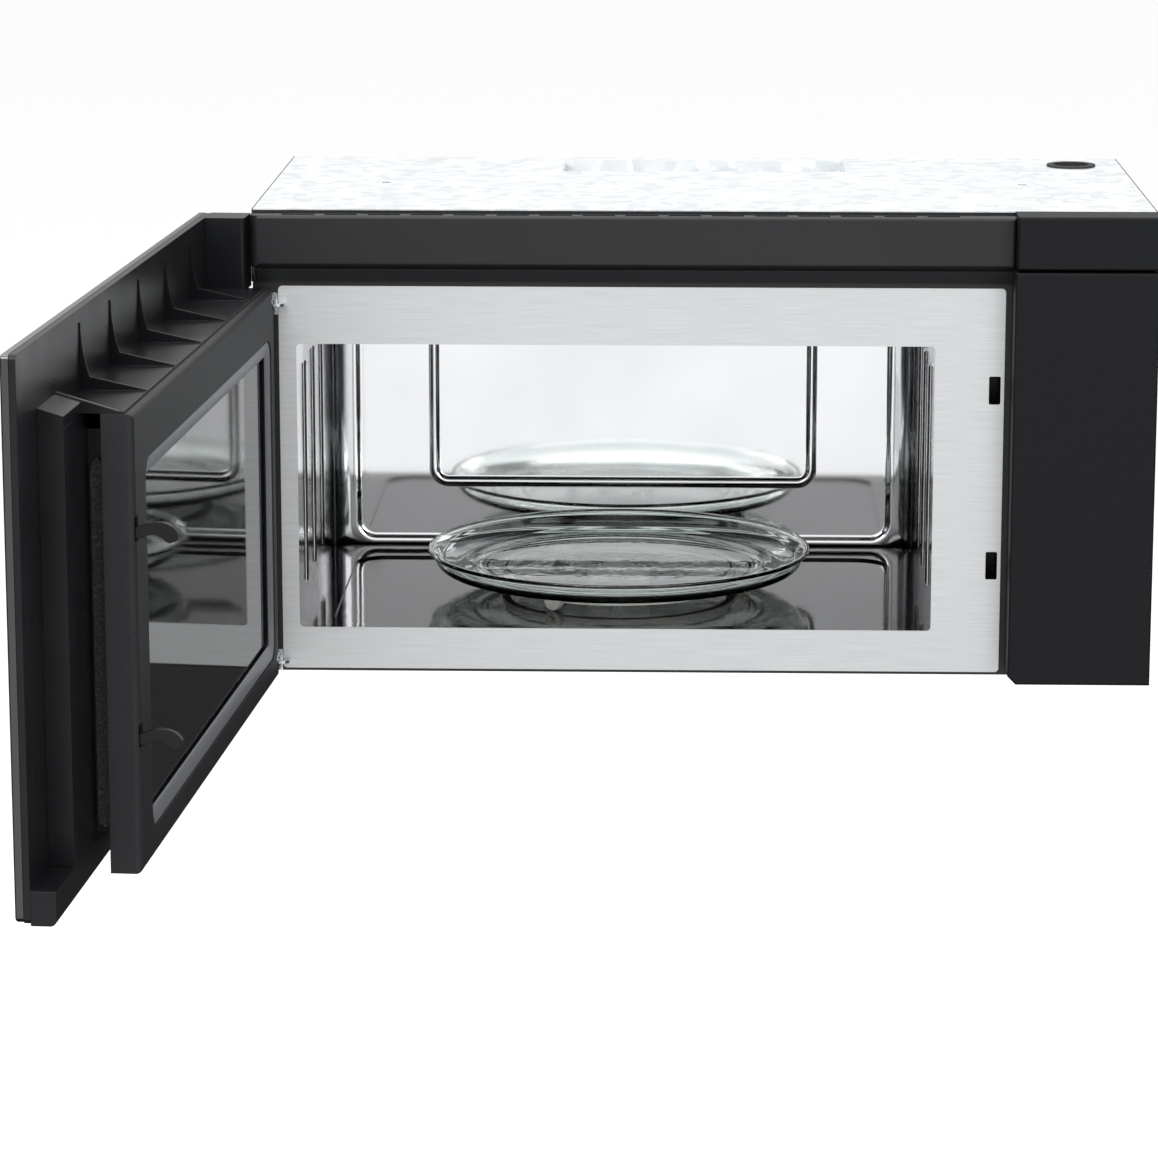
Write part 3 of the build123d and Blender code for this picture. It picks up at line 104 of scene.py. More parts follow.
# Each crystal mirrors its own grey, which gives the sheet its patchwork; the edges stay crisp.
zinc, tree, place = new_material("galvanised_steel", {"Metallic": 1.0})
cells = add(tree, "ShaderNodeTexVoronoi", {"Scale": 1 / spangle}, {"Vector": place})
greys = add(tree, "ShaderNodeValToRGB", {"stops": [(0.2, "#dde0e2"), (0.8, "#e8eaeb")]},
            {"Fac": cells.outputs["Color"]})
gloss = add(tree, "ShaderNodeMapRange", {"To Min": 0.42, "To Max": 0.55},
            {"Value": cells.outputs["Color"]})
feed(tree, {"Base Color": greys.outputs["Color"], "Roughness": gloss.outputs["Result"]})
dress(zinc, ["wall_mounting_plate", "rear_panel", "case_top_panel", "waveguide", "exhaust_adaptor",
             "exhaust_scrolls", "cooling_fan_shroud", "door_steel_panel"])

# ---- Painted sheet ----
# The case's sides, its underside and the chassis behind the face are steel with a dark grey
# powder coat, sprayed on dry and baked.
paint_peel = 2.2 * mm

# Powder flows out to a fine orange peel, which breaks up the reflections.
paint, tree, place = new_material("powder_coat", {"Roughness": 0.42, "Specular IOR Level": 0.35})
peel = add(tree, "ShaderNodeTexNoise", {"Scale": 1 / paint_peel, "Detail": 2.0}, {"Vector": place})
tone = add(tree, "ShaderNodeValToRGB", {"stops": [(0.3, "#161718"), (0.7, "#1c1d1f")]},
           {"Fac": peel.outputs["Fac"]})
skin = add(tree, "ShaderNodeBump", {"Strength": 0.25, "Distance": 0.1 * mm},
           {"Height": peel.outputs["Fac"]})
feed(tree, {"Base Color": tone.outputs["Color"], "Normal": skin.outputs["Normal"]})
dress(paint, ["case_left_panel", "case_right_panel", "base_panel", "front_chassis"])

# ---- Cord hole ----
# A ring of black EPDM rubber snaps into the hole in the top, where the cord leaves.
# It is moulded and a little bloomed, so it looks dry and slightly grey.
bloom = 5 * mm

rubber, tree, place = new_material("epdm_rubber", {"Roughness": 0.75})
dust = add(tree, "ShaderNodeTexNoise", {"Scale": 1 / bloom, "Detail": 3.0}, {"Vector": place})
tone = add(tree, "ShaderNodeValToRGB", {"stops": [(0.35, "#191919"), (0.75, "#262625")]},
           {"Fac": dust.outputs["Fac"]})
feed(tree, {"Base Color": tone.outputs["Color"]})
dress(rubber, ["cord_grommet"])

# ---- Grease filters and cooktop lamps ----
# Under the case hang two pads of layered aluminium mesh in folded rims, and beside them are
# two frosted polycarbonate lenses over the lamps that light the cooktop.
strand_pitch = 1.63 * mm
frost_grit = 1.5 * mm
wave_bands = 10 / pi         # bands that a wave texture draws to the metre at a scale of 1

# Crossed strands: their tops are painted pale as a painted highlight and the gaps painted dark as
# painted shade.
mesh_metal_painted_light, tree, place = new_material("aluminium_mesh_painted_light", {"Metallic": 1.0, "Roughness": 0.34})
slant = add(tree, "ShaderNodeMapping", {"Rotation": (0, 0, radians(45))}, {"Vector": place})
warp, weft = (add(tree, "ShaderNodeTexWave",
                  {"Scale": 1 / (wave_bands * strand_pitch), "bands_direction": direction},
                  {"Vector": slant.outputs["Vector"]}) for direction in ("X", "Y"))
web = add(tree, "ShaderNodeMath", {"operation": "MAXIMUM"},
          {0: warp.outputs["Fac"], 1: weft.outputs["Fac"]})
# The ramp is painted light: pale strand tops as a painted highlight, dark gaps as painted shade.
tone = add(tree, "ShaderNodeValToRGB", {"stops": [(0.45, "#2a2b2c"), (0.8, "#b4b7b9")]},
           {"Fac": web.outputs["Value"]})
relief = add(tree, "ShaderNodeBump", {"Strength": 0.8, "Distance": 1.0 * mm},
             {"Height": web.outputs["Value"]})
feed(tree, {"Base Color": tone.outputs["Color"], "Normal": relief.outputs["Normal"]})
dress(mesh_metal_painted_light, ["grease_filters"])

# A fine moulded frost scatters the light, so the lens looks milky and never clear.
frost, tree, place = new_material("frosted_polycarbonate",
                                  {"Base Color": linear("#e9eae6"), "Roughness": 0.5, "IOR": 1.58,
                                   "Transmission Weight": 0.6})
grit = add(tree, "ShaderNodeTexNoise", {"Scale": 1 / frost_grit}, {"Vector": place})
relief = add(tree, "ShaderNodeBump", {"Strength": 0.3, "Distance": 0.1 * mm},
             {"Height": grit.outputs["Fac"]})
feed(tree, {"Normal": relief.outputs["Normal"]})
dress(frost, ["cooktop_lamp_lenses"])

# ---- Cavity walls ----
# The oven's box is bright-annealed stainless sheet, deep drawn at the back and ribbed at the
# sides, and welded at its edges. It is never brushed, so that food wipes off.
drawn_wave = 90 * mm
faint_roll = 7 * mm

# A soft mirror: the sheet's slow waves bend what it reflects, and the rolling leaves a faint haze.
bright, tree, place = new_material("bright_annealed_stainless", {"Metallic": 1.0})
sway = add(tree, "ShaderNodeTexNoise", {"Scale": 1 / drawn_wave, "Detail": 1.0}, {"Vector": place})
haze = add(tree, "ShaderNodeTexNoise", {"Scale": 1 / faint_roll, "Detail": 3.0}, {"Vector": place})
tone = add(tree, "ShaderNodeValToRGB", {"stops": [(0.3, "#dcdddf"), (0.7, "#e9eaeb")]},
           {"Fac": haze.outputs["Fac"]})
gloss = add(tree, "ShaderNodeMapRange", {"To Min": 0.08, "To Max": 0.15},
            {"Value": haze.outputs["Fac"]})
relief = add(tree, "ShaderNodeBump", {"Strength": 0.25, "Distance": 2.5 * mm},
             {"Height": sway.outputs["Fac"]})
feed(tree, {"Base Color": tone.outputs["Color"], "Roughness": gloss.outputs["Result"],
            "Normal": relief.outputs["Normal"]})
dress(bright, ["cavity_left_wall", "cavity_right_wall", "cavity_ceiling"])

# ---- Cavity back wall ----
# The back wall is drawn from the same sheet: its middle is dished away from the oven, and a
# raised field in the dish, with a rounded bead for its outline, keeps the sheet from drumming.
back_low, back_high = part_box("cavity_back_wall")
inside_low, inside_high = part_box("cavity_floor")
back_y = back_low.y
wall_sheet = 1 * mm
sheet_corner = 0.5 * mm
dish_depth = 3 * mm
dish_corner = 19 * mm
dish_slope = 6 * mm          # width of the dish's sloped side
dish_margins = (20.5 * mm, 19.5 * mm, 4 * mm, 18 * mm)     # left, right, floor, ceiling
field_margins = (94.5 * mm, 94.5 * mm, 60 * mm, 36 * mm)
field_corner = 13 * mm
bead_width = 9 * mm
bead_height = 2.9 * mm
bead_steps = 12
flat_edge = 1 * mm           # a flat stays flat up to this far from a bend
corner_steps = 12


def finished(name, form, material):
    """Turns a mesh under construction into a named piece with its material."""
    bmesh.ops.recalc_face_normals(form, faces=form.faces)
    mesh = bpy.data.meshes.new(name)
    form.to_mesh(mesh)
    form.free()
    mesh.materials.append(material)
    piece = bpy.data.objects.new(name, mesh)
    bpy.context.scene.collection.objects.link(piece)
    return piece


def rounded_ring(form, low, high, radius, depth):
    """A loop of points round a rectangle with rounded corners that stands across the oven."""
    loop = []
    for across, up, start in ((1, 1, 0), (-1, 1, 90), (-1, -1, 180), (1, -1, 270)):
        centre_x = (high[0] if across > 0 else low[0]) - across * radius
        centre_z = (high[1] if up > 0 else low[1]) - up * radius
        for step in range(corner_steps + 1):
            angle = radians(start + 90 * step / corner_steps)
            loop.append(form.verts.new((centre_x + radius * cos(angle), depth,
                                        centre_z + radius * sin(angle))))
    return loop


def joined_rings(form, rings, closed=False):
    """Faces between each loop and the next one, and over the last one."""
    for outer, inner in zip(rings, rings[1:]):
        for step, corner in enumerate(outer):
            after = (step + 1) % len(outer)
            form.faces.new([corner, outer[after], inner[after], inner[step]]).smooth = True
    if closed:
        form.faces.new(rings[-1])


# As bright as the side walls but flatter, so the mouth and the floor stand in it almost clean.
drawn, tree, place = new_material("drawn_stainless", {"Metallic": 1.0})
haze = add(tree, "ShaderNodeTexNoise", {"Scale": 1 / drawn_wave, "Detail": 1.0}, {"Vector": place})
tone = add(tree, "ShaderNodeValToRGB", {"stops": [(0.3, "#e4e5e7"), (0.7, "#ecedef")]},
           {"Fac": haze.outputs["Fac"]})
gloss = add(tree, "ShaderNodeMapRange", {"To Min": 0.05, "To Max": 0.07},
            {"Value": haze.outputs["Fac"]})
feed(tree, {"Base Color": tone.outputs["Color"], "Roughness": gloss.outputs["Result"]})

mouth_low = (inside_low.x, inside_high.z)
mouth_high = (inside_high.x, back_high.z - wall_sheet)
form = bmesh.new()
rings = [rounded_ring(form, (mouth_low[0] - wall_sheet, mouth_low[1] - wall_sheet),
                      (mouth_high[0] + wall_sheet, mouth_high[1] + wall_sheet), sheet_corner, back_y)]
left_in, right_in, floor_in, ceiling_in = dish_margins
for share, drop in ((-0.15, 0), (0, 0), (0.1, 0.04), (0.3, 0.2), (0.5, 0.5), (0.7, 0.8),
                    (0.9, 0.96), (1, 1), (1.15, 1)):
    inset = share * dish_slope
    rings.append(rounded_ring(form, (mouth_low[0] + left_in + inset, mouth_low[1] + floor_in + inset),
                              (mouth_high[0] - right_in - inset, mouth_high[1] - ceiling_in - inset),
                              dish_corner - inset, back_y + drop * dish_depth))
left_in, right_in, floor_in, ceiling_in = field_margins
for step in range(-1, bead_steps + 2):
    share = min(max(step / bead_steps, 0), 1)
    beyond = flat_edge if step > bead_steps else -flat_edge if step < 0 else 0
    inset = (share - 0.5) * bead_width + beyond
    rise = bead_height * sin(pi * share)
    rings.append(rounded_ring(form, (mouth_low[0] + left_in + inset, mouth_low[1] + floor_in + inset),
                              (mouth_high[0] - right_in - inset, mouth_high[1] - ceiling_in - inset),
                              field_corner - inset, back_y + dish_depth - rise))
joined_rings(form, rings, closed=True)
back_wall = finished("drawn_back_wall", form, drawn)
thick = back_wall.modifiers.new("sheet", "SOLIDIFY")
thick.thickness = wall_sheet
thick.offset = -1.0
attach(back_wall, "case")
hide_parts("cavity_back_wall")

# ---- Cavity floor ----
# The floor is steel with charcoal vitreous enamel, fired on as glass. Its middle is pressed
# down by 2 mm, and the rollers run in that field.
enamel_peel = 14 * mm
enamel_speck = 1.2 * mm

# Glassy and almost black, with a slow ripple where the enamel flowed and tiny pale specks.
enamel, tree, place = new_material("vitreous_enamel",
                                   {"Roughness": 0.07, "IOR": 1.32, "Specular IOR Level": 0.4})
flow = add(tree, "ShaderNodeTexNoise", {"Scale": 1 / enamel_peel, "Detail": 1.0}, {"Vector": place})
specks = add(tree, "ShaderNodeTexNoise", {"Scale": 1 / enamel_speck, "Detail": 0.0},
             {"Vector": place})
tone = add(tree, "ShaderNodeValToRGB", {"stops": [(0.72, "#0b0b0d"), (0.8, "#1d1d20")]},
           {"Fac": specks.outputs["Fac"]})
relief = add(tree, "ShaderNodeBump", {"Strength": 0.15, "Distance": 0.5 * mm},
             {"Height": flow.outputs["Fac"]})
feed(tree, {"Base Color": tone.outputs["Color"], "Normal": relief.outputs["Normal"]})
dress(enamel, ["cavity_floor"])

# ---- Wave path ----
# The magnetron's yoke and the blower wheels are plated and bare aluminium; a mica card closes
# the hole in the ceiling where the waves come in.
card_flake = 6 * mm
wear_patch = 8 * mm

# Satin, slightly uneven bare aluminium.
aluminium, tree, place = new_material("bare_aluminium", {"Metallic": 1.0})
wear = add(tree, "ShaderNodeTexNoise", {"Scale": 1 / wear_patch, "Detail": 4.0}, {"Vector": place})
tone = add(tree, "ShaderNodeValToRGB", {"stops": [(0.3, "#a3a6a8"), (0.7, "#c4c6c8")]},
           {"Fac": wear.outputs["Fac"]})
gloss = add(tree, "ShaderNodeMapRange", {"To Min": 0.3, "To Max": 0.5},
            {"Value": wear.outputs["Fac"]})
feed(tree, {"Base Color": tone.outputs["Color"], "Roughness": gloss.outputs["Result"]})
dress(aluminium, ["magnetron", "exhaust_wheels"])

# Pressed mica: silvery brown flakes, each with its own sheen.
mica, tree, place = new_material("pressed_mica", {"Roughness": 0.4})
flakes = add(tree, "ShaderNodeTexVoronoi", {"Scale": 1 / card_flake}, {"Vector": place})
tone = add(tree, "ShaderNodeValToRGB", {"stops": [(0.2, "#a59a86"), (0.8, "#c8bfae")]},
           {"Fac": flakes.outputs["Color"]})
feed(tree, {"Base Color": tone.outputs["Color"]})
dress(mica, ["waveguide_cover"])

# ---- Boards ----
# The power, control and touch boards are glass-fibre laminate with green solder mask, dark
# moulded parts and tinned joints on them.
track = 4 * mm

# Green mask with paler copper tracks under it.
board, tree, place = new_material("solder_mask", {"Roughness": 0.3, "Coat Weight": 0.3})
copper = add(tree, "ShaderNodeTexBrick",
             {"Scale": 1 / track, "Color1": linear("#0e4a2a"), "Color2": linear("#12572f"),
              "Mortar": linear("#2f7a45"), "Mortar Size": 0.06}, {"Vector": place})
feed(tree, {"Base Color": copper.outputs["Color"]})
dress(board, ["inverter_board", "control_board", "touch_board"])

# ---- Motors ----
# Fan, blower and turntable motors have stacked core sheets and pressed covers, blued and oiled.
core_line = 2.95 * mm        # real core sheet is 0.5 mm; these lines are coarse enough to show

# Oiled grey steel, with the stack's edges as fine lines round it.
motor_steel, tree, place = new_material("motor_steel", {"Metallic": 1.0, "Roughness": 0.45})
stack = add(tree, "ShaderNodeTexWave", {"Scale": 1 / (wave_bands * core_line), "bands_direction": "Y"},
            {"Vector": place})
tone = add(tree, "ShaderNodeValToRGB", {"stops": [(0.2, "#5f6163"), (0.8, "#7f8285")]},
           {"Fac": stack.outputs["Fac"]})
feed(tree, {"Base Color": tone.outputs["Color"]})
dress(motor_steel, ["cooling_fan_motor", "exhaust_motor", "turntable_motor"])

# ---- Charcoal filter ----
# A pad of charcoal grains behind the vent bar takes the smell out of air that goes back to
# the room.
grain = 3.5 * mm

# Matt black grains, painted lighter on their tops as a painted highlight and darker in the crevices
# between them as painted shade.
charcoal_painted_light, tree, place = new_material("charcoal_grains_painted_light", {"Roughness": 0.85})
grains = add(tree, "ShaderNodeTexVoronoi", {"Scale": 1 / grain}, {"Vector": place})
# The ramp is painted light: grain tops lighter, crevices between grains darker.
tone = add(tree, "ShaderNodeValToRGB", {"stops": [(0.1, "#1d1d1d"), (0.6, "#0b0b0b")]},
           {"Fac": grains.outputs["Distance"]})
relief = add(tree, "ShaderNodeBump", {"Strength": 0.8, "Distance": 0.8 * mm, "invert": True},
             {"Height": grains.outputs["Distance"]})
feed(tree, {"Base Color": tone.outputs["Color"], "Normal": relief.outputs["Normal"]})
dress(charcoal_painted_light, ["charcoal_filter"])

# ---- White mouldings ----
# Roller ring, rollers, coupler, fan and door switches are acetal and polypropylene, moulded
# in their natural white.
flow_mark = 18 * mm

# Waxy white that lets a little light in, with faint flow marks.
acetal, tree, place = new_material("natural_acetal",
                                   {"Roughness": 0.36, "Subsurface Weight": 0.15,
                                    "Subsurface Scale": 1.5 * mm})
flow = add(tree, "ShaderNodeTexNoise", {"Scale": 1 / flow_mark, "Detail": 2.0}, {"Vector": place})
tone = add(tree, "ShaderNodeValToRGB", {"stops": [(0.3, "#d9d7cf"), (0.7, "#e6e4dd")]},
           {"Fac": flow.outputs["Fac"]})
feed(tree, {"Base Color": tone.outputs["Color"]})
dress(acetal, ["roller_ring", "ring_roller_1", "ring_roller_2", "ring_roller_3",
               "turntable_coupler", "cooling_fan_blades", "microswitches"])

# ---- Glass tray ----
# The tray is pressed clear glass, 5 mm thick, with a rounded rim to hold spills, a shallow
# step where the rollers run, and three lugs under it that the coupler turns.
tray_low, tray_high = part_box("turntable_glass")
tray_middle = (tray_low + tray_high) / 2
tray_radius = (tray_high.x - tray_low.x) / 2
lug_height = 5 * mm
lug_radius = 4 * mm
lug_ring = 23 * mm
tray_foot = tray_low.z + lug_height
tray_height = tray_high.z - tray_foot
glass_wall = 5 * mm
press_ripple = 9 * mm
track_in = 61 * mm           # from the rim to the middle of the rollers' track
track_half = 8 * mm
track_ramp = 1 * mm
track_rise = 0.6 * mm
press_fillet = 6 * mm
lug_fillet = 1.5 * mm
lip_fillet = 1 * mm


def rounded(points, radius, steps=5):
    """The outline through points, with each inner corner turned into a curve of that size."""
    line = [Vector(points[0])]
    for before, corner, after in zip(points, points[1:], points[2:]):
        before, corner, after = Vector(before), Vector(corner), Vector(after)
        reach = min(radius, (before - corner).length / 2, (after - corner).length / 2)
        start = corner + (before - corner).normalized() * reach
        end = corner + (after - corner).normalized() * reach
        for step in range(steps + 1):
            share = step / steps
            line.append(start * (1 - share) ** 2 + corner * 2 * share * (1 - share)
                        + end * share ** 2)
    return line + [Vector(points[-1])]


def turned(form, outline, place, turns=144):
    """Adds to a mesh what an outline of radii and heights sweeps round an upright line at place."""
    rows = []
    for radius, height in outline:
        if radius < 1e-7:
            rows.append([form.verts.new(place + Vector((0, 0, height)))] * turns)
            continue
        rows.append([form.verts.new(place + Vector((radius * cos(2 * pi * turn / turns),
                                                    radius * sin(2 * pi * turn / turns), height)))
                     for turn in range(turns)])
    for inner, outer in zip(rows, rows[1:]):
        for turn in range(turns):
            after = (turn + 1) % turns
            corners = [inner[turn], outer[turn], outer[after], inner[after]]
            face = form.faces.new(list(dict.fromkeys(corners)))
            face.smooth = True


# Clear with a faint green where it is thick, and slightly rippled from the press.
tray_glass, tree, place = new_material("pressed_glass",
                                       {"Base Color": linear("#eef4f1"), "Roughness": 0.015,
                                        "IOR": 1.5, "Transmission Weight": 1.0})
ripple = add(tree, "ShaderNodeTexNoise", {"Scale": 1 / press_ripple, "Detail": 1.0},
             {"Vector": place})
relief = add(tree, "ShaderNodeBump", {"Strength": 0.12, "Distance": 0.3 * mm},
             {"Height": ripple.outputs["Fac"]})
feed(tree, {"Normal": relief.outputs["Normal"]})

track_radius = tray_radius - track_in
# Each point of a side is its distance in from the rim and its height, in millimetres; the rim's
# points are measured down from the top of the tray, and the well's up from the glass's face.
under_side = [(tray_radius - inward * mm, up * mm) for inward, up in ((27, 0), (9, 5))]
under_rim = [(tray_radius - inward * mm, tray_height - down * mm)
             for inward, down in ((3.5, 5), (0, 3), (0, 0))]
upper_rim = [(tray_radius - inward * mm, tray_height - down * mm) for inward, down in ((3, 0), (7, 4))]
upper_well = [(tray_radius - inward * mm, glass_wall + up * mm)
              for inward, up in ((11, 4), (28, 0), (40, 0), (42, 0.8), (46, 0.8), (48, 0))]
track = [(track_radius - track_half - track_ramp, 0), (track_radius - track_half, track_rise),
         (track_radius + track_half, track_rise), (track_radius + track_half + track_ramp, 0)]
outer_line = rounded([(0, 0)] + track + under_side + under_rim, press_fillet)
inner_line = rounded(upper_rim + upper_well + [(0, glass_wall)], press_fillet)
lip = rounded([outer_line[-1], (tray_radius - 1.2 * mm, tray_height), inner_line[0]], lip_fillet)
form = bmesh.new()
stand = Vector((tray_middle.x, tray_middle.y, tray_foot))
turned(form, outer_line[:-1] + lip[1:-1] + inner_line, stand)
for lug in range(3):
    angle = radians(30 + 120 * lug)
    spot = stand + Vector((lug_ring * cos(angle), lug_ring * sin(angle), 0))
    turned(form, rounded([(lug_radius, 0), (lug_radius, -lug_height), (0, -lug_height)], lug_fillet),
           spot, turns=32)
tray = finished("glass_tray", form, tray_glass)
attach(tray, "turntable")
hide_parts("turntable_glass")

# ---- Steel face ----
# Round the oven's mouth is a plate of brushed stainless steel, with two slots for the
# latch hooks. It is belt-ground from side to side before it is punched.
stroke_length = 55 * mm
stroke_width = 0.7 * mm      # real grit lines are 0.1 mm; these are coarse enough to show

# Fine side-to-side lines spread the highlights up and down; some strokes are lighter.
brushed, tree, place = new_material("brushed_stainless",
                                    {"Metallic": 1.0, "Anisotropic": 0.35,
                                     "Anisotropic Rotation": 0.25})
along = add(tree, "ShaderNodeMapping",
            {"Scale": (1 / stroke_length, 1 / stroke_length, 1 / stroke_width)}, {"Vector": place})
grit = add(tree, "ShaderNodeTexNoise", {"Scale": 1.0, "Detail": 3.0, "Roughness": 0.65},
           {"Vector": along.outputs["Vector"]})
tone = add(tree, "ShaderNodeValToRGB", {"stops": [(0.3, "#c3c5c6"), (0.7, "#d5d7d8")]},
           {"Fac": grit.outputs["Fac"]})
gloss = add(tree, "ShaderNodeMapRange", {"To Min": 0.36, "To Max": 0.46},
            {"Value": grit.outputs["Fac"]})
relief = add(tree, "ShaderNodeBump", {"Strength": 0.2, "Distance": 0.05 * mm},
             {"Height": grit.outputs["Fac"]})
level = add(tree, "ShaderNodeTangent", {"direction_type": "RADIAL", "axis": "Z"}, {})
feed(tree, {"Base Color": tone.outputs["Color"], "Roughness": gloss.outputs["Result"],
            "Normal": relief.outputs["Normal"], "Tangent": level.outputs["Tangent"]})
dress(brushed, ["front_plate"])

# ---- Dark trim ----
# The vent bar is black ABS from a satin mould. The end cap and the blank panel beside it, and
# the lamp's housing, come from a finely etched mould, which looks darker.
satin_grain = 1.6 * mm       # real grain is about 0.3 mm; this is coarse enough to show
edge_round = 0.9 * mm
slow_cloud = 167 * mm

# A satin skin that is never a mirror, with softened edges that catch a thin light.
satin, tree, place = new_material("satin_abs", {"Specular IOR Level": 0.36})
edges = add(tree, "ShaderNodeBevel", {"samples": 4, "Radius": edge_round}, {})
skin = add(tree, "ShaderNodeTexNoise", {"Scale": 1 / satin_grain, "Detail": 2.0},
           {"Vector": place})
cloud = add(tree, "ShaderNodeTexNoise", {"Scale": 1 / slow_cloud, "Detail": 2.0}, {"Vector": place})
tone = add(tree, "ShaderNodeValToRGB", {"stops": [(0.3, "#131416"), (0.7, "#161719")]},
           {"Fac": cloud.outputs["Fac"]})
gloss = add(tree, "ShaderNodeMapRange", {"To Min": 0.34, "To Max": 0.42},
            {"Value": cloud.outputs["Fac"]})
relief = add(tree, "ShaderNodeBump", {"Strength": 0.1, "Distance": 0.05 * mm},
             {"Height": skin.outputs["Fac"], "Normal": edges.outputs["Normal"]})
feed(tree, {"Base Color": tone.outputs["Color"], "Roughness": gloss.outputs["Result"],
            "Normal": relief.outputs["Normal"]})
dress(satin, ["vent_bar"])

# The etched skin throws back little light, so it is a deeper grey than the satin one.
etched, tree, place = new_material("etched_abs", {"Roughness": 0.46, "Specular IOR Level": 0.12})
edges = add(tree, "ShaderNodeBevel", {"samples": 4, "Radius": edge_round}, {})
skin = add(tree, "ShaderNodeTexNoise", {"Scale": 1 / satin_grain, "Detail": 2.0},
           {"Vector": place})
tone = add(tree, "ShaderNodeValToRGB", {"stops": [(0.35, "#0f1012"), (0.65, "#131416")]},
           {"Fac": skin.outputs["Fac"]})
relief = add(tree, "ShaderNodeBump", {"Strength": 0.15, "Distance": 0.05 * mm},
             {"Height": skin.outputs["Fac"], "Normal": edges.outputs["Normal"]})
feed(tree, {"Base Color": tone.outputs["Color"], "Normal": relief.outputs["Normal"]})
dress(etched, ["vent_end_cap", "right_cover_panel", "oven_lamp"])

# ---- Corner filler ----
# Between the sloped strip and the left side of the case a moulded filler closes the corner
# above the upper hinge. It is clipped into the chassis and stays clear of the door's swing.
strip_low, strip_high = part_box("bezel_strip")
side_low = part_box("case_left_panel")[0]
filler_reach = 9.5 * mm      # out of the steel face
filler_gap = 0.2 * mm
filler_round = 1.5 * mm
filler_bevel = 0.4 * mm

face_y = side_low.y - wall_sheet
outline = rounded([(side_low.x, side_low.y - filler_gap), (side_low.x, face_y - filler_reach),
                   (strip_low.x - filler_gap, face_y - filler_reach),
                   (strip_low.x - filler_gap, side_low.y - filler_gap)], filler_round)
middle = sum(outline, Vector((0, 0))) / len(outline)
form = bmesh.new()
rings = []
for height, inset in ((strip_low.z, filler_bevel), (strip_low.z + filler_bevel, 0),
                      (strip_high.z - filler_bevel, 0), (strip_high.z, filler_bevel)):
    rings.append([form.verts.new((*(point + (middle - point).normalized() * inset), height))
                  for point in outline])
joined_rings(form, rings, closed=True)
form.faces.new(rings[0])
filler = finished("corner_filler", form, satin)
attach(filler, "case")

# ---- Hinges, screws and spring ----
# Brackets, pins, hinge arms, screws, the flap and the latch's spring are steel with bright
# zinc plating, pressed or turned and then barrel plated.
plating_haze = 4 * mm
turned_edge = 0.4 * mm

# Bright silver with a light haze from the barrel.
plated, tree, place = new_material("zinc_plated_steel", {"Metallic": 1.0})
edges = add(tree, "ShaderNodeBevel", {"samples": 4, "Radius": turned_edge}, {})
haze = add(tree, "ShaderNodeTexNoise", {"Scale": 1 / plating_haze, "Detail": 3.0},
           {"Vector": place})
tone = add(tree, "ShaderNodeValToRGB", {"stops": [(0.3, "#c3c6c9"), (0.7, "#dcdee0")]},
           {"Fac": haze.outputs["Fac"]})
gloss = add(tree, "ShaderNodeMapRange", {"To Min": 0.16, "To Max": 0.28},
            {"Value": haze.outputs["Fac"]})
feed(tree, {"Base Color": tone.outputs["Color"], "Roughness": gloss.outputs["Result"],
            "Normal": edges.outputs["Normal"]})
dress(plated, ["body_hinges", "door_hinge_arms", "base_screws", "latch_spring", "exhaust_flap"])

# ---- Door mouldings and latch ----
# Bezel, inner frame with its neck, lower rail, ribbed upper frame, hinge cap, latch lever and
# the catch board behind the slots are black ABS from a polished mould. The choke cover, and the
# sloped strip over the door, come from a blasted one.
sink_mark = 45 * mm
moulded_edge = 0.8 * mm
cover_edge = 1.2 * mm

# A glossy skin with soft edges; slow sink marks over the ribs bend its reflections.
gloss_abs, tree, place = new_material("gloss_abs", {"Specular IOR Level": 0.22})
edges = add(tree, "ShaderNodeBevel", {"samples": 4, "Radius": moulded_edge}, {})
sink = add(tree, "ShaderNodeTexNoise", {"Scale": 1 / sink_mark, "Detail": 1.0}, {"Vector": place})
tone = add(tree, "ShaderNodeValToRGB", {"stops": [(0.3, "#101113"), (0.7, "#141517")]},
           {"Fac": sink.outputs["Fac"]})
gloss = add(tree, "ShaderNodeMapRange", {"To Min": 0.24, "To Max": 0.34},
            {"Value": sink.outputs["Fac"]})
relief = add(tree, "ShaderNodeBump", {"Strength": 0.2, "Distance": 0.6 * mm},
             {"Height": sink.outputs["Fac"], "Normal": edges.outputs["Normal"]})
feed(tree, {"Base Color": tone.outputs["Color"], "Roughness": gloss.outputs["Result"],
            "Normal": relief.outputs["Normal"]})
dress(gloss_abs, ["door_bezel", "door_inner_frame", "door_lower_rail", "door_upper_frame",
                  "door_hinge_cap", "latch_hooks", "latch_switch_board"])

# The blasted skin is an even dark grey that mirrors nothing.
blasted, tree, place = new_material("blasted_abs", {"Roughness": 0.55, "Specular IOR Level": 0.3})
edges = add(tree, "ShaderNodeBevel", {"samples": 4, "Radius": cover_edge}, {})
skin = add(tree, "ShaderNodeTexNoise", {"Scale": 1 / satin_grain, "Detail": 2.0},
           {"Vector": place})
tone = add(tree, "ShaderNodeValToRGB", {"stops": [(0.35, "#1b1c1e"), (0.65, "#1f2022")]},
           {"Fac": skin.outputs["Fac"]})
relief = add(tree, "ShaderNodeBump", {"Strength": 0.15, "Distance": 0.05 * mm},
             {"Height": skin.outputs["Fac"], "Normal": edges.outputs["Normal"]})
feed(tree, {"Base Color": tone.outputs["Color"], "Normal": relief.outputs["Normal"]})
dress(blasted, ["choke_cover", "bezel_strip"])

# ---- Door panes ----
# The outer pane is 6 mm toughened soda-lime glass, painted black on its back and bonded to
# the bezel. The inner pane is dark glass that shows the oven only when its lamp is on.
roller_wave = 160 * mm

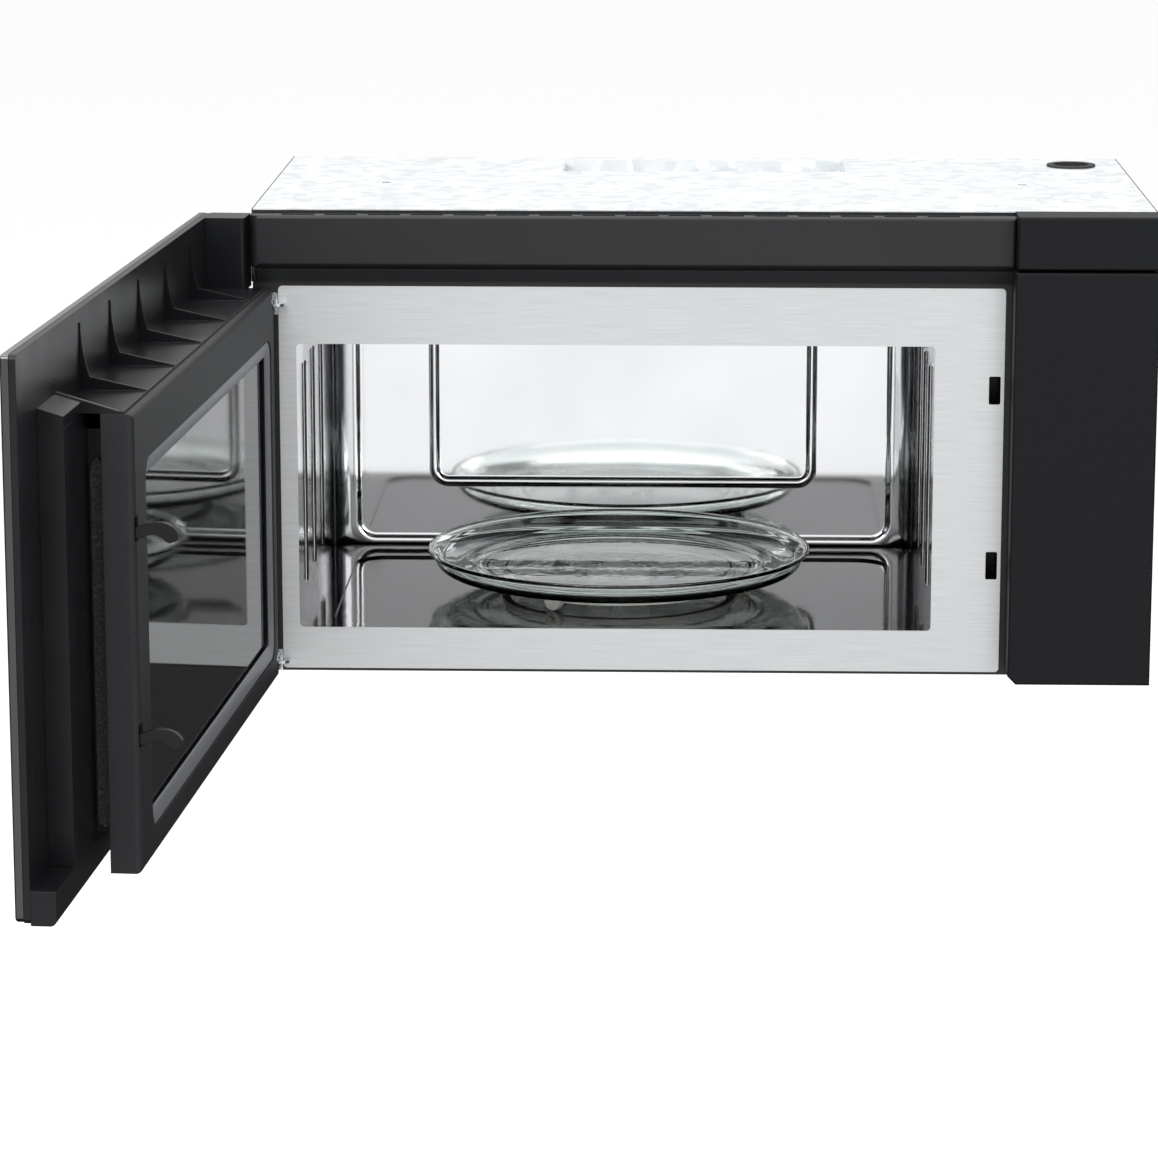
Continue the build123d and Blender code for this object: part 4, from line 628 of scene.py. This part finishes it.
# Deep black under a clear surface; toughening rollers leave it very slightly wavy.
pane, tree, place = new_material("black_backed_glass",
                                 {"Base Color": linear("#060607"), "Roughness": 0.03, "IOR": 1.52,
                                  "Coat Weight": 1.0, "Coat Roughness": 0.02})
wave = add(tree, "ShaderNodeTexNoise", {"Scale": 1 / roller_wave, "Detail": 0.0},
           {"Vector": place})
relief = add(tree, "ShaderNodeBump", {"Strength": 0.06, "Distance": 1.5 * mm},
             {"Height": wave.outputs["Fac"]})
feed(tree, {"Normal": relief.outputs["Normal"]})
dress(pane, ["door_glass"])

# A dark mirror: tinted right through, with a smooth face that shows the oven's mouth beside it.
film, tree, place = new_material("tinted_mirror_glass",
                                 {"Base Color": linear("#0c0c0e"), "Roughness": 0.04, "IOR": 1.5})
wave = add(tree, "ShaderNodeTexNoise", {"Scale": 1 / roller_wave, "Detail": 0.0},
           {"Vector": place})
relief = add(tree, "ShaderNodeBump", {"Strength": 0.05, "Distance": 1.5 * mm},
             {"Height": wave.outputs["Fac"]})
feed(tree, {"Normal": relief.outputs["Normal"]})
dress(film, ["window_film"])

# ---- Window frame ----
# Round the inner pane runs a narrow sloped frame of ABS, pressed into the choke cover's step; its
# mid-grey colour is a painted highlight along the slope. It hides the pane's glued edge.
hinge = next(joint for joint in frame["joints"] if joint["name"] == "door_hinge")
opening = radians(hinge["range_deg"][1])
hinge_line = Vector(hinge["pos_m"])
turn = Matrix.Rotation(-opening, 4, "Z")
door_place = Matrix.Translation(hinge_line) @ turn @ Matrix.Translation(-hinge_line)
shut_film = [door_place.inverted() @ vertex.co for vertex in
             frame["nodes"]["window_film"].data.vertices]
film_low = (min(point.x for point in shut_film), min(point.z for point in shut_film))
film_high = (max(point.x for point in shut_film), max(point.z for point in shut_film))
film_face = max(point.y for point in shut_film)
frame_corner = 14 * mm
step_floor = 2.05 * mm       # the step's floor stands this far before the pane
# The frame's section in millimetres: out from the pane's edge, and up from the step's floor.
frame_section = ((1.6, 0.0), (1.6, 2.4), (1.1, 3.0), (0.4, 3.1), (-10.4, 1.0), (-11.0, 0.7),
                 (-11.4, 0.2), (-11.4, 0.0), (1.6, 0.0))

# A satin mid-grey that is lighter than the cover: a painted highlight, so the slope reads as a pale
# line.
grey_abs_painted_highlight, tree, place = new_material("mid_grey_abs_painted_highlight", {"Roughness": 0.38, "Specular IOR Level": 0.5})
skin = add(tree, "ShaderNodeTexNoise", {"Scale": 1 / satin_grain, "Detail": 2.0},
           {"Vector": place})
# The mid-grey stops are the painted highlight on the slope.
tone = add(tree, "ShaderNodeValToRGB", {"stops": [(0.35, "#54565a"), (0.65, "#5c5e62")]},
           {"Fac": skin.outputs["Fac"]})
relief = add(tree, "ShaderNodeBump", {"Strength": 0.1, "Distance": 0.05 * mm},
             {"Height": skin.outputs["Fac"]})
feed(tree, {"Base Color": tone.outputs["Color"], "Normal": relief.outputs["Normal"]})

form = bmesh.new()
rings = []
for grow, rise in frame_section:
    rings.append(rounded_ring(form, [edge - grow * mm for edge in film_low],
                              [edge + grow * mm for edge in film_high],
                              frame_corner + grow * mm, film_face + step_floor + rise * mm))
joined_rings(form, rings)
bmesh.ops.remove_doubles(form, verts=form.verts, dist=0.01 * mm)
form.transform(door_place)
window_frame = finished("window_frame", form, grey_abs_painted_highlight)
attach(window_frame, "door")

# ---- Foam strip ----
# A strip of speckled polyurethane foam is stuck along the free side of the door's neck, and
# stops the draught there. Its sides bulge a little where the glue holds its back flat.
strip_low, strip_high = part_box("door_foam_strip")
foam_cell = 1.8 * mm
fleck_size = 2.5 * mm
strip_rows = 60
strip_sides = 20
end_squareness = 40
side_softness = 0.35
pinch = 0.03                 # share of the width by which the glue draws the sides in
pinch_waves = 7

# Open cells: a dull dark grey with pale flecks and a rough relief.
foam, tree, place = new_material("polyurethane_foam", {"Roughness": 0.95, "Sheen Weight": 0.2})
pores = add(tree, "ShaderNodeTexVoronoi", {"Scale": 1 / foam_cell}, {"Vector": place})
flecks = add(tree, "ShaderNodeTexNoise", {"Scale": 1 / fleck_size, "Detail": 1.0},
             {"Vector": place})
tone = add(tree, "ShaderNodeValToRGB", {"stops": [(0.45, "#232425"), (0.7, "#37393b")]},
           {"Fac": flecks.outputs["Fac"]})
relief = add(tree, "ShaderNodeBump", {"Strength": 0.9, "Distance": 0.6 * mm},
             {"Height": pores.outputs["Distance"]})
feed(tree, {"Base Color": tone.outputs["Color"], "Normal": relief.outputs["Normal"]})

middle = (strip_low + strip_high) / 2
half = (strip_high - strip_low) / 2
form = bmesh.new()
rings = []
for row in range(strip_rows + 1):
    up = -1 + 2 * row / strip_rows
    narrow = (1 - abs(up) ** end_squareness) ** 0.5 * (1 - pinch + pinch * cos(pinch_waves * pi * up))
    ring = []
    for side in range(strip_sides):
        angle = 2 * pi * side / strip_sides
        across = abs(cos(angle)) ** side_softness * (1 if cos(angle) > 0 else -1)
        deep = abs(sin(angle)) ** side_softness * (1 if sin(angle) > 0 else -1)
        ring.append(form.verts.new(middle + Vector((half.x * across * narrow,
                                                    half.y * deep * narrow, half.z * up))))
    rings.append(ring)
for lower, upper in zip(rings, rings[1:]):
    for side in range(strip_sides):
        after = (side + 1) % strip_sides
        face = form.faces.new([lower[side], lower[after], upper[after], upper[side]])
        face.smooth = True
bmesh.ops.remove_doubles(form, verts=form.verts, dist=0.001 * mm)
strip = finished("foam_strip", form, foam)
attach(strip, "door")
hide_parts("door_foam_strip")

# ---- Room, light and camera ----
# The oven hangs over a plain pale floor. Soft light comes from above and from in front, and low
# at the sides it is dark, so that black parts stay black. The camera stands in front, a little
# above the oven's top.
floor_drop = 1.0
floor_half = 60.0
bright_front = (-0.65, -0.88)   # how far forwards a direction points where light starts and is full
bright_above = (0.08, 0.25)     # the same for how far upwards it points
shade, light = 0.05, 1.1
lamps = (("key", (-1.6, -3.4, 2.6), 2.2, 90.0),       # name, place, width and watts
         ("fill", (2.2, -3.6, 1.4), 1.8, 40.0),
         ("top", (0.0, -0.6, 3.0), 2.6, 60.0))
lamp_target = Vector((0, -0.3, 0))
film_width = 36.0
lens_length = 134.1
camera_spot = (0.0, -3.982, 0.6587)
camera_tilt = radians(90 - 12.17)
camera_turn = radians(1.66)

scene = bpy.context.scene
scene.view_settings.view_transform = "Standard"
world = bpy.data.worlds.new("studio")
world.use_nodes = True
heading = add(world.node_tree, "ShaderNodeTexCoord", {}, {})
parts = add(world.node_tree, "ShaderNodeSeparateXYZ", {}, {"Vector": heading.outputs["Generated"]})
ahead, above = (add(world.node_tree, "ShaderNodeMapRange", {"From Min": start, "From Max": full},
                    {"Value": parts.outputs[axis]})
                for axis, (start, full) in (("Y", bright_front), ("Z", bright_above)))
either = add(world.node_tree, "ShaderNodeMath", {"operation": "MAXIMUM"},
             {0: ahead.outputs["Result"], 1: above.outputs["Result"]})
glow = add(world.node_tree, "ShaderNodeMapRange", {"To Min": shade, "To Max": light},
           {"Value": either.outputs["Value"]})
backdrop = world.node_tree.nodes["Background"]
backdrop.inputs["Color"].default_value = linear("#ffffff")
world.node_tree.links.new(glow.outputs["Result"], backdrop.inputs["Strength"])
scene.world = world

pale, tree, place = new_material("pale_floor", {"Base Color": linear("#f4f4f4"), "Roughness": 0.9})
form = bmesh.new()
form.faces.new([form.verts.new((x * floor_half, y * floor_half, -floor_drop))
                for x, y in ((-1, -1), (1, -1), (1, 1), (-1, 1))])
floor = finished("floor", form, pale)
floor.visible_glossy = False

for name, spot, size, power in lamps:
    lamp = bpy.data.lights.new(name, "AREA")
    lamp.size = size
    lamp.energy = power
    holder = bpy.data.objects.new(name, lamp)
    holder.location = spot
    holder.rotation_euler = (lamp_target - Vector(spot)).to_track_quat("-Z", "Y").to_euler()
    scene.collection.objects.link(holder)

camera = bpy.data.objects.new("camera", bpy.data.cameras.new("camera"))
camera.data.sensor_width = film_width
camera.data.lens = lens_length
camera.location = camera_spot
camera.rotation_euler = (camera_tilt, 0, camera_turn)
scene.collection.objects.link(camera)
scene.camera = camera
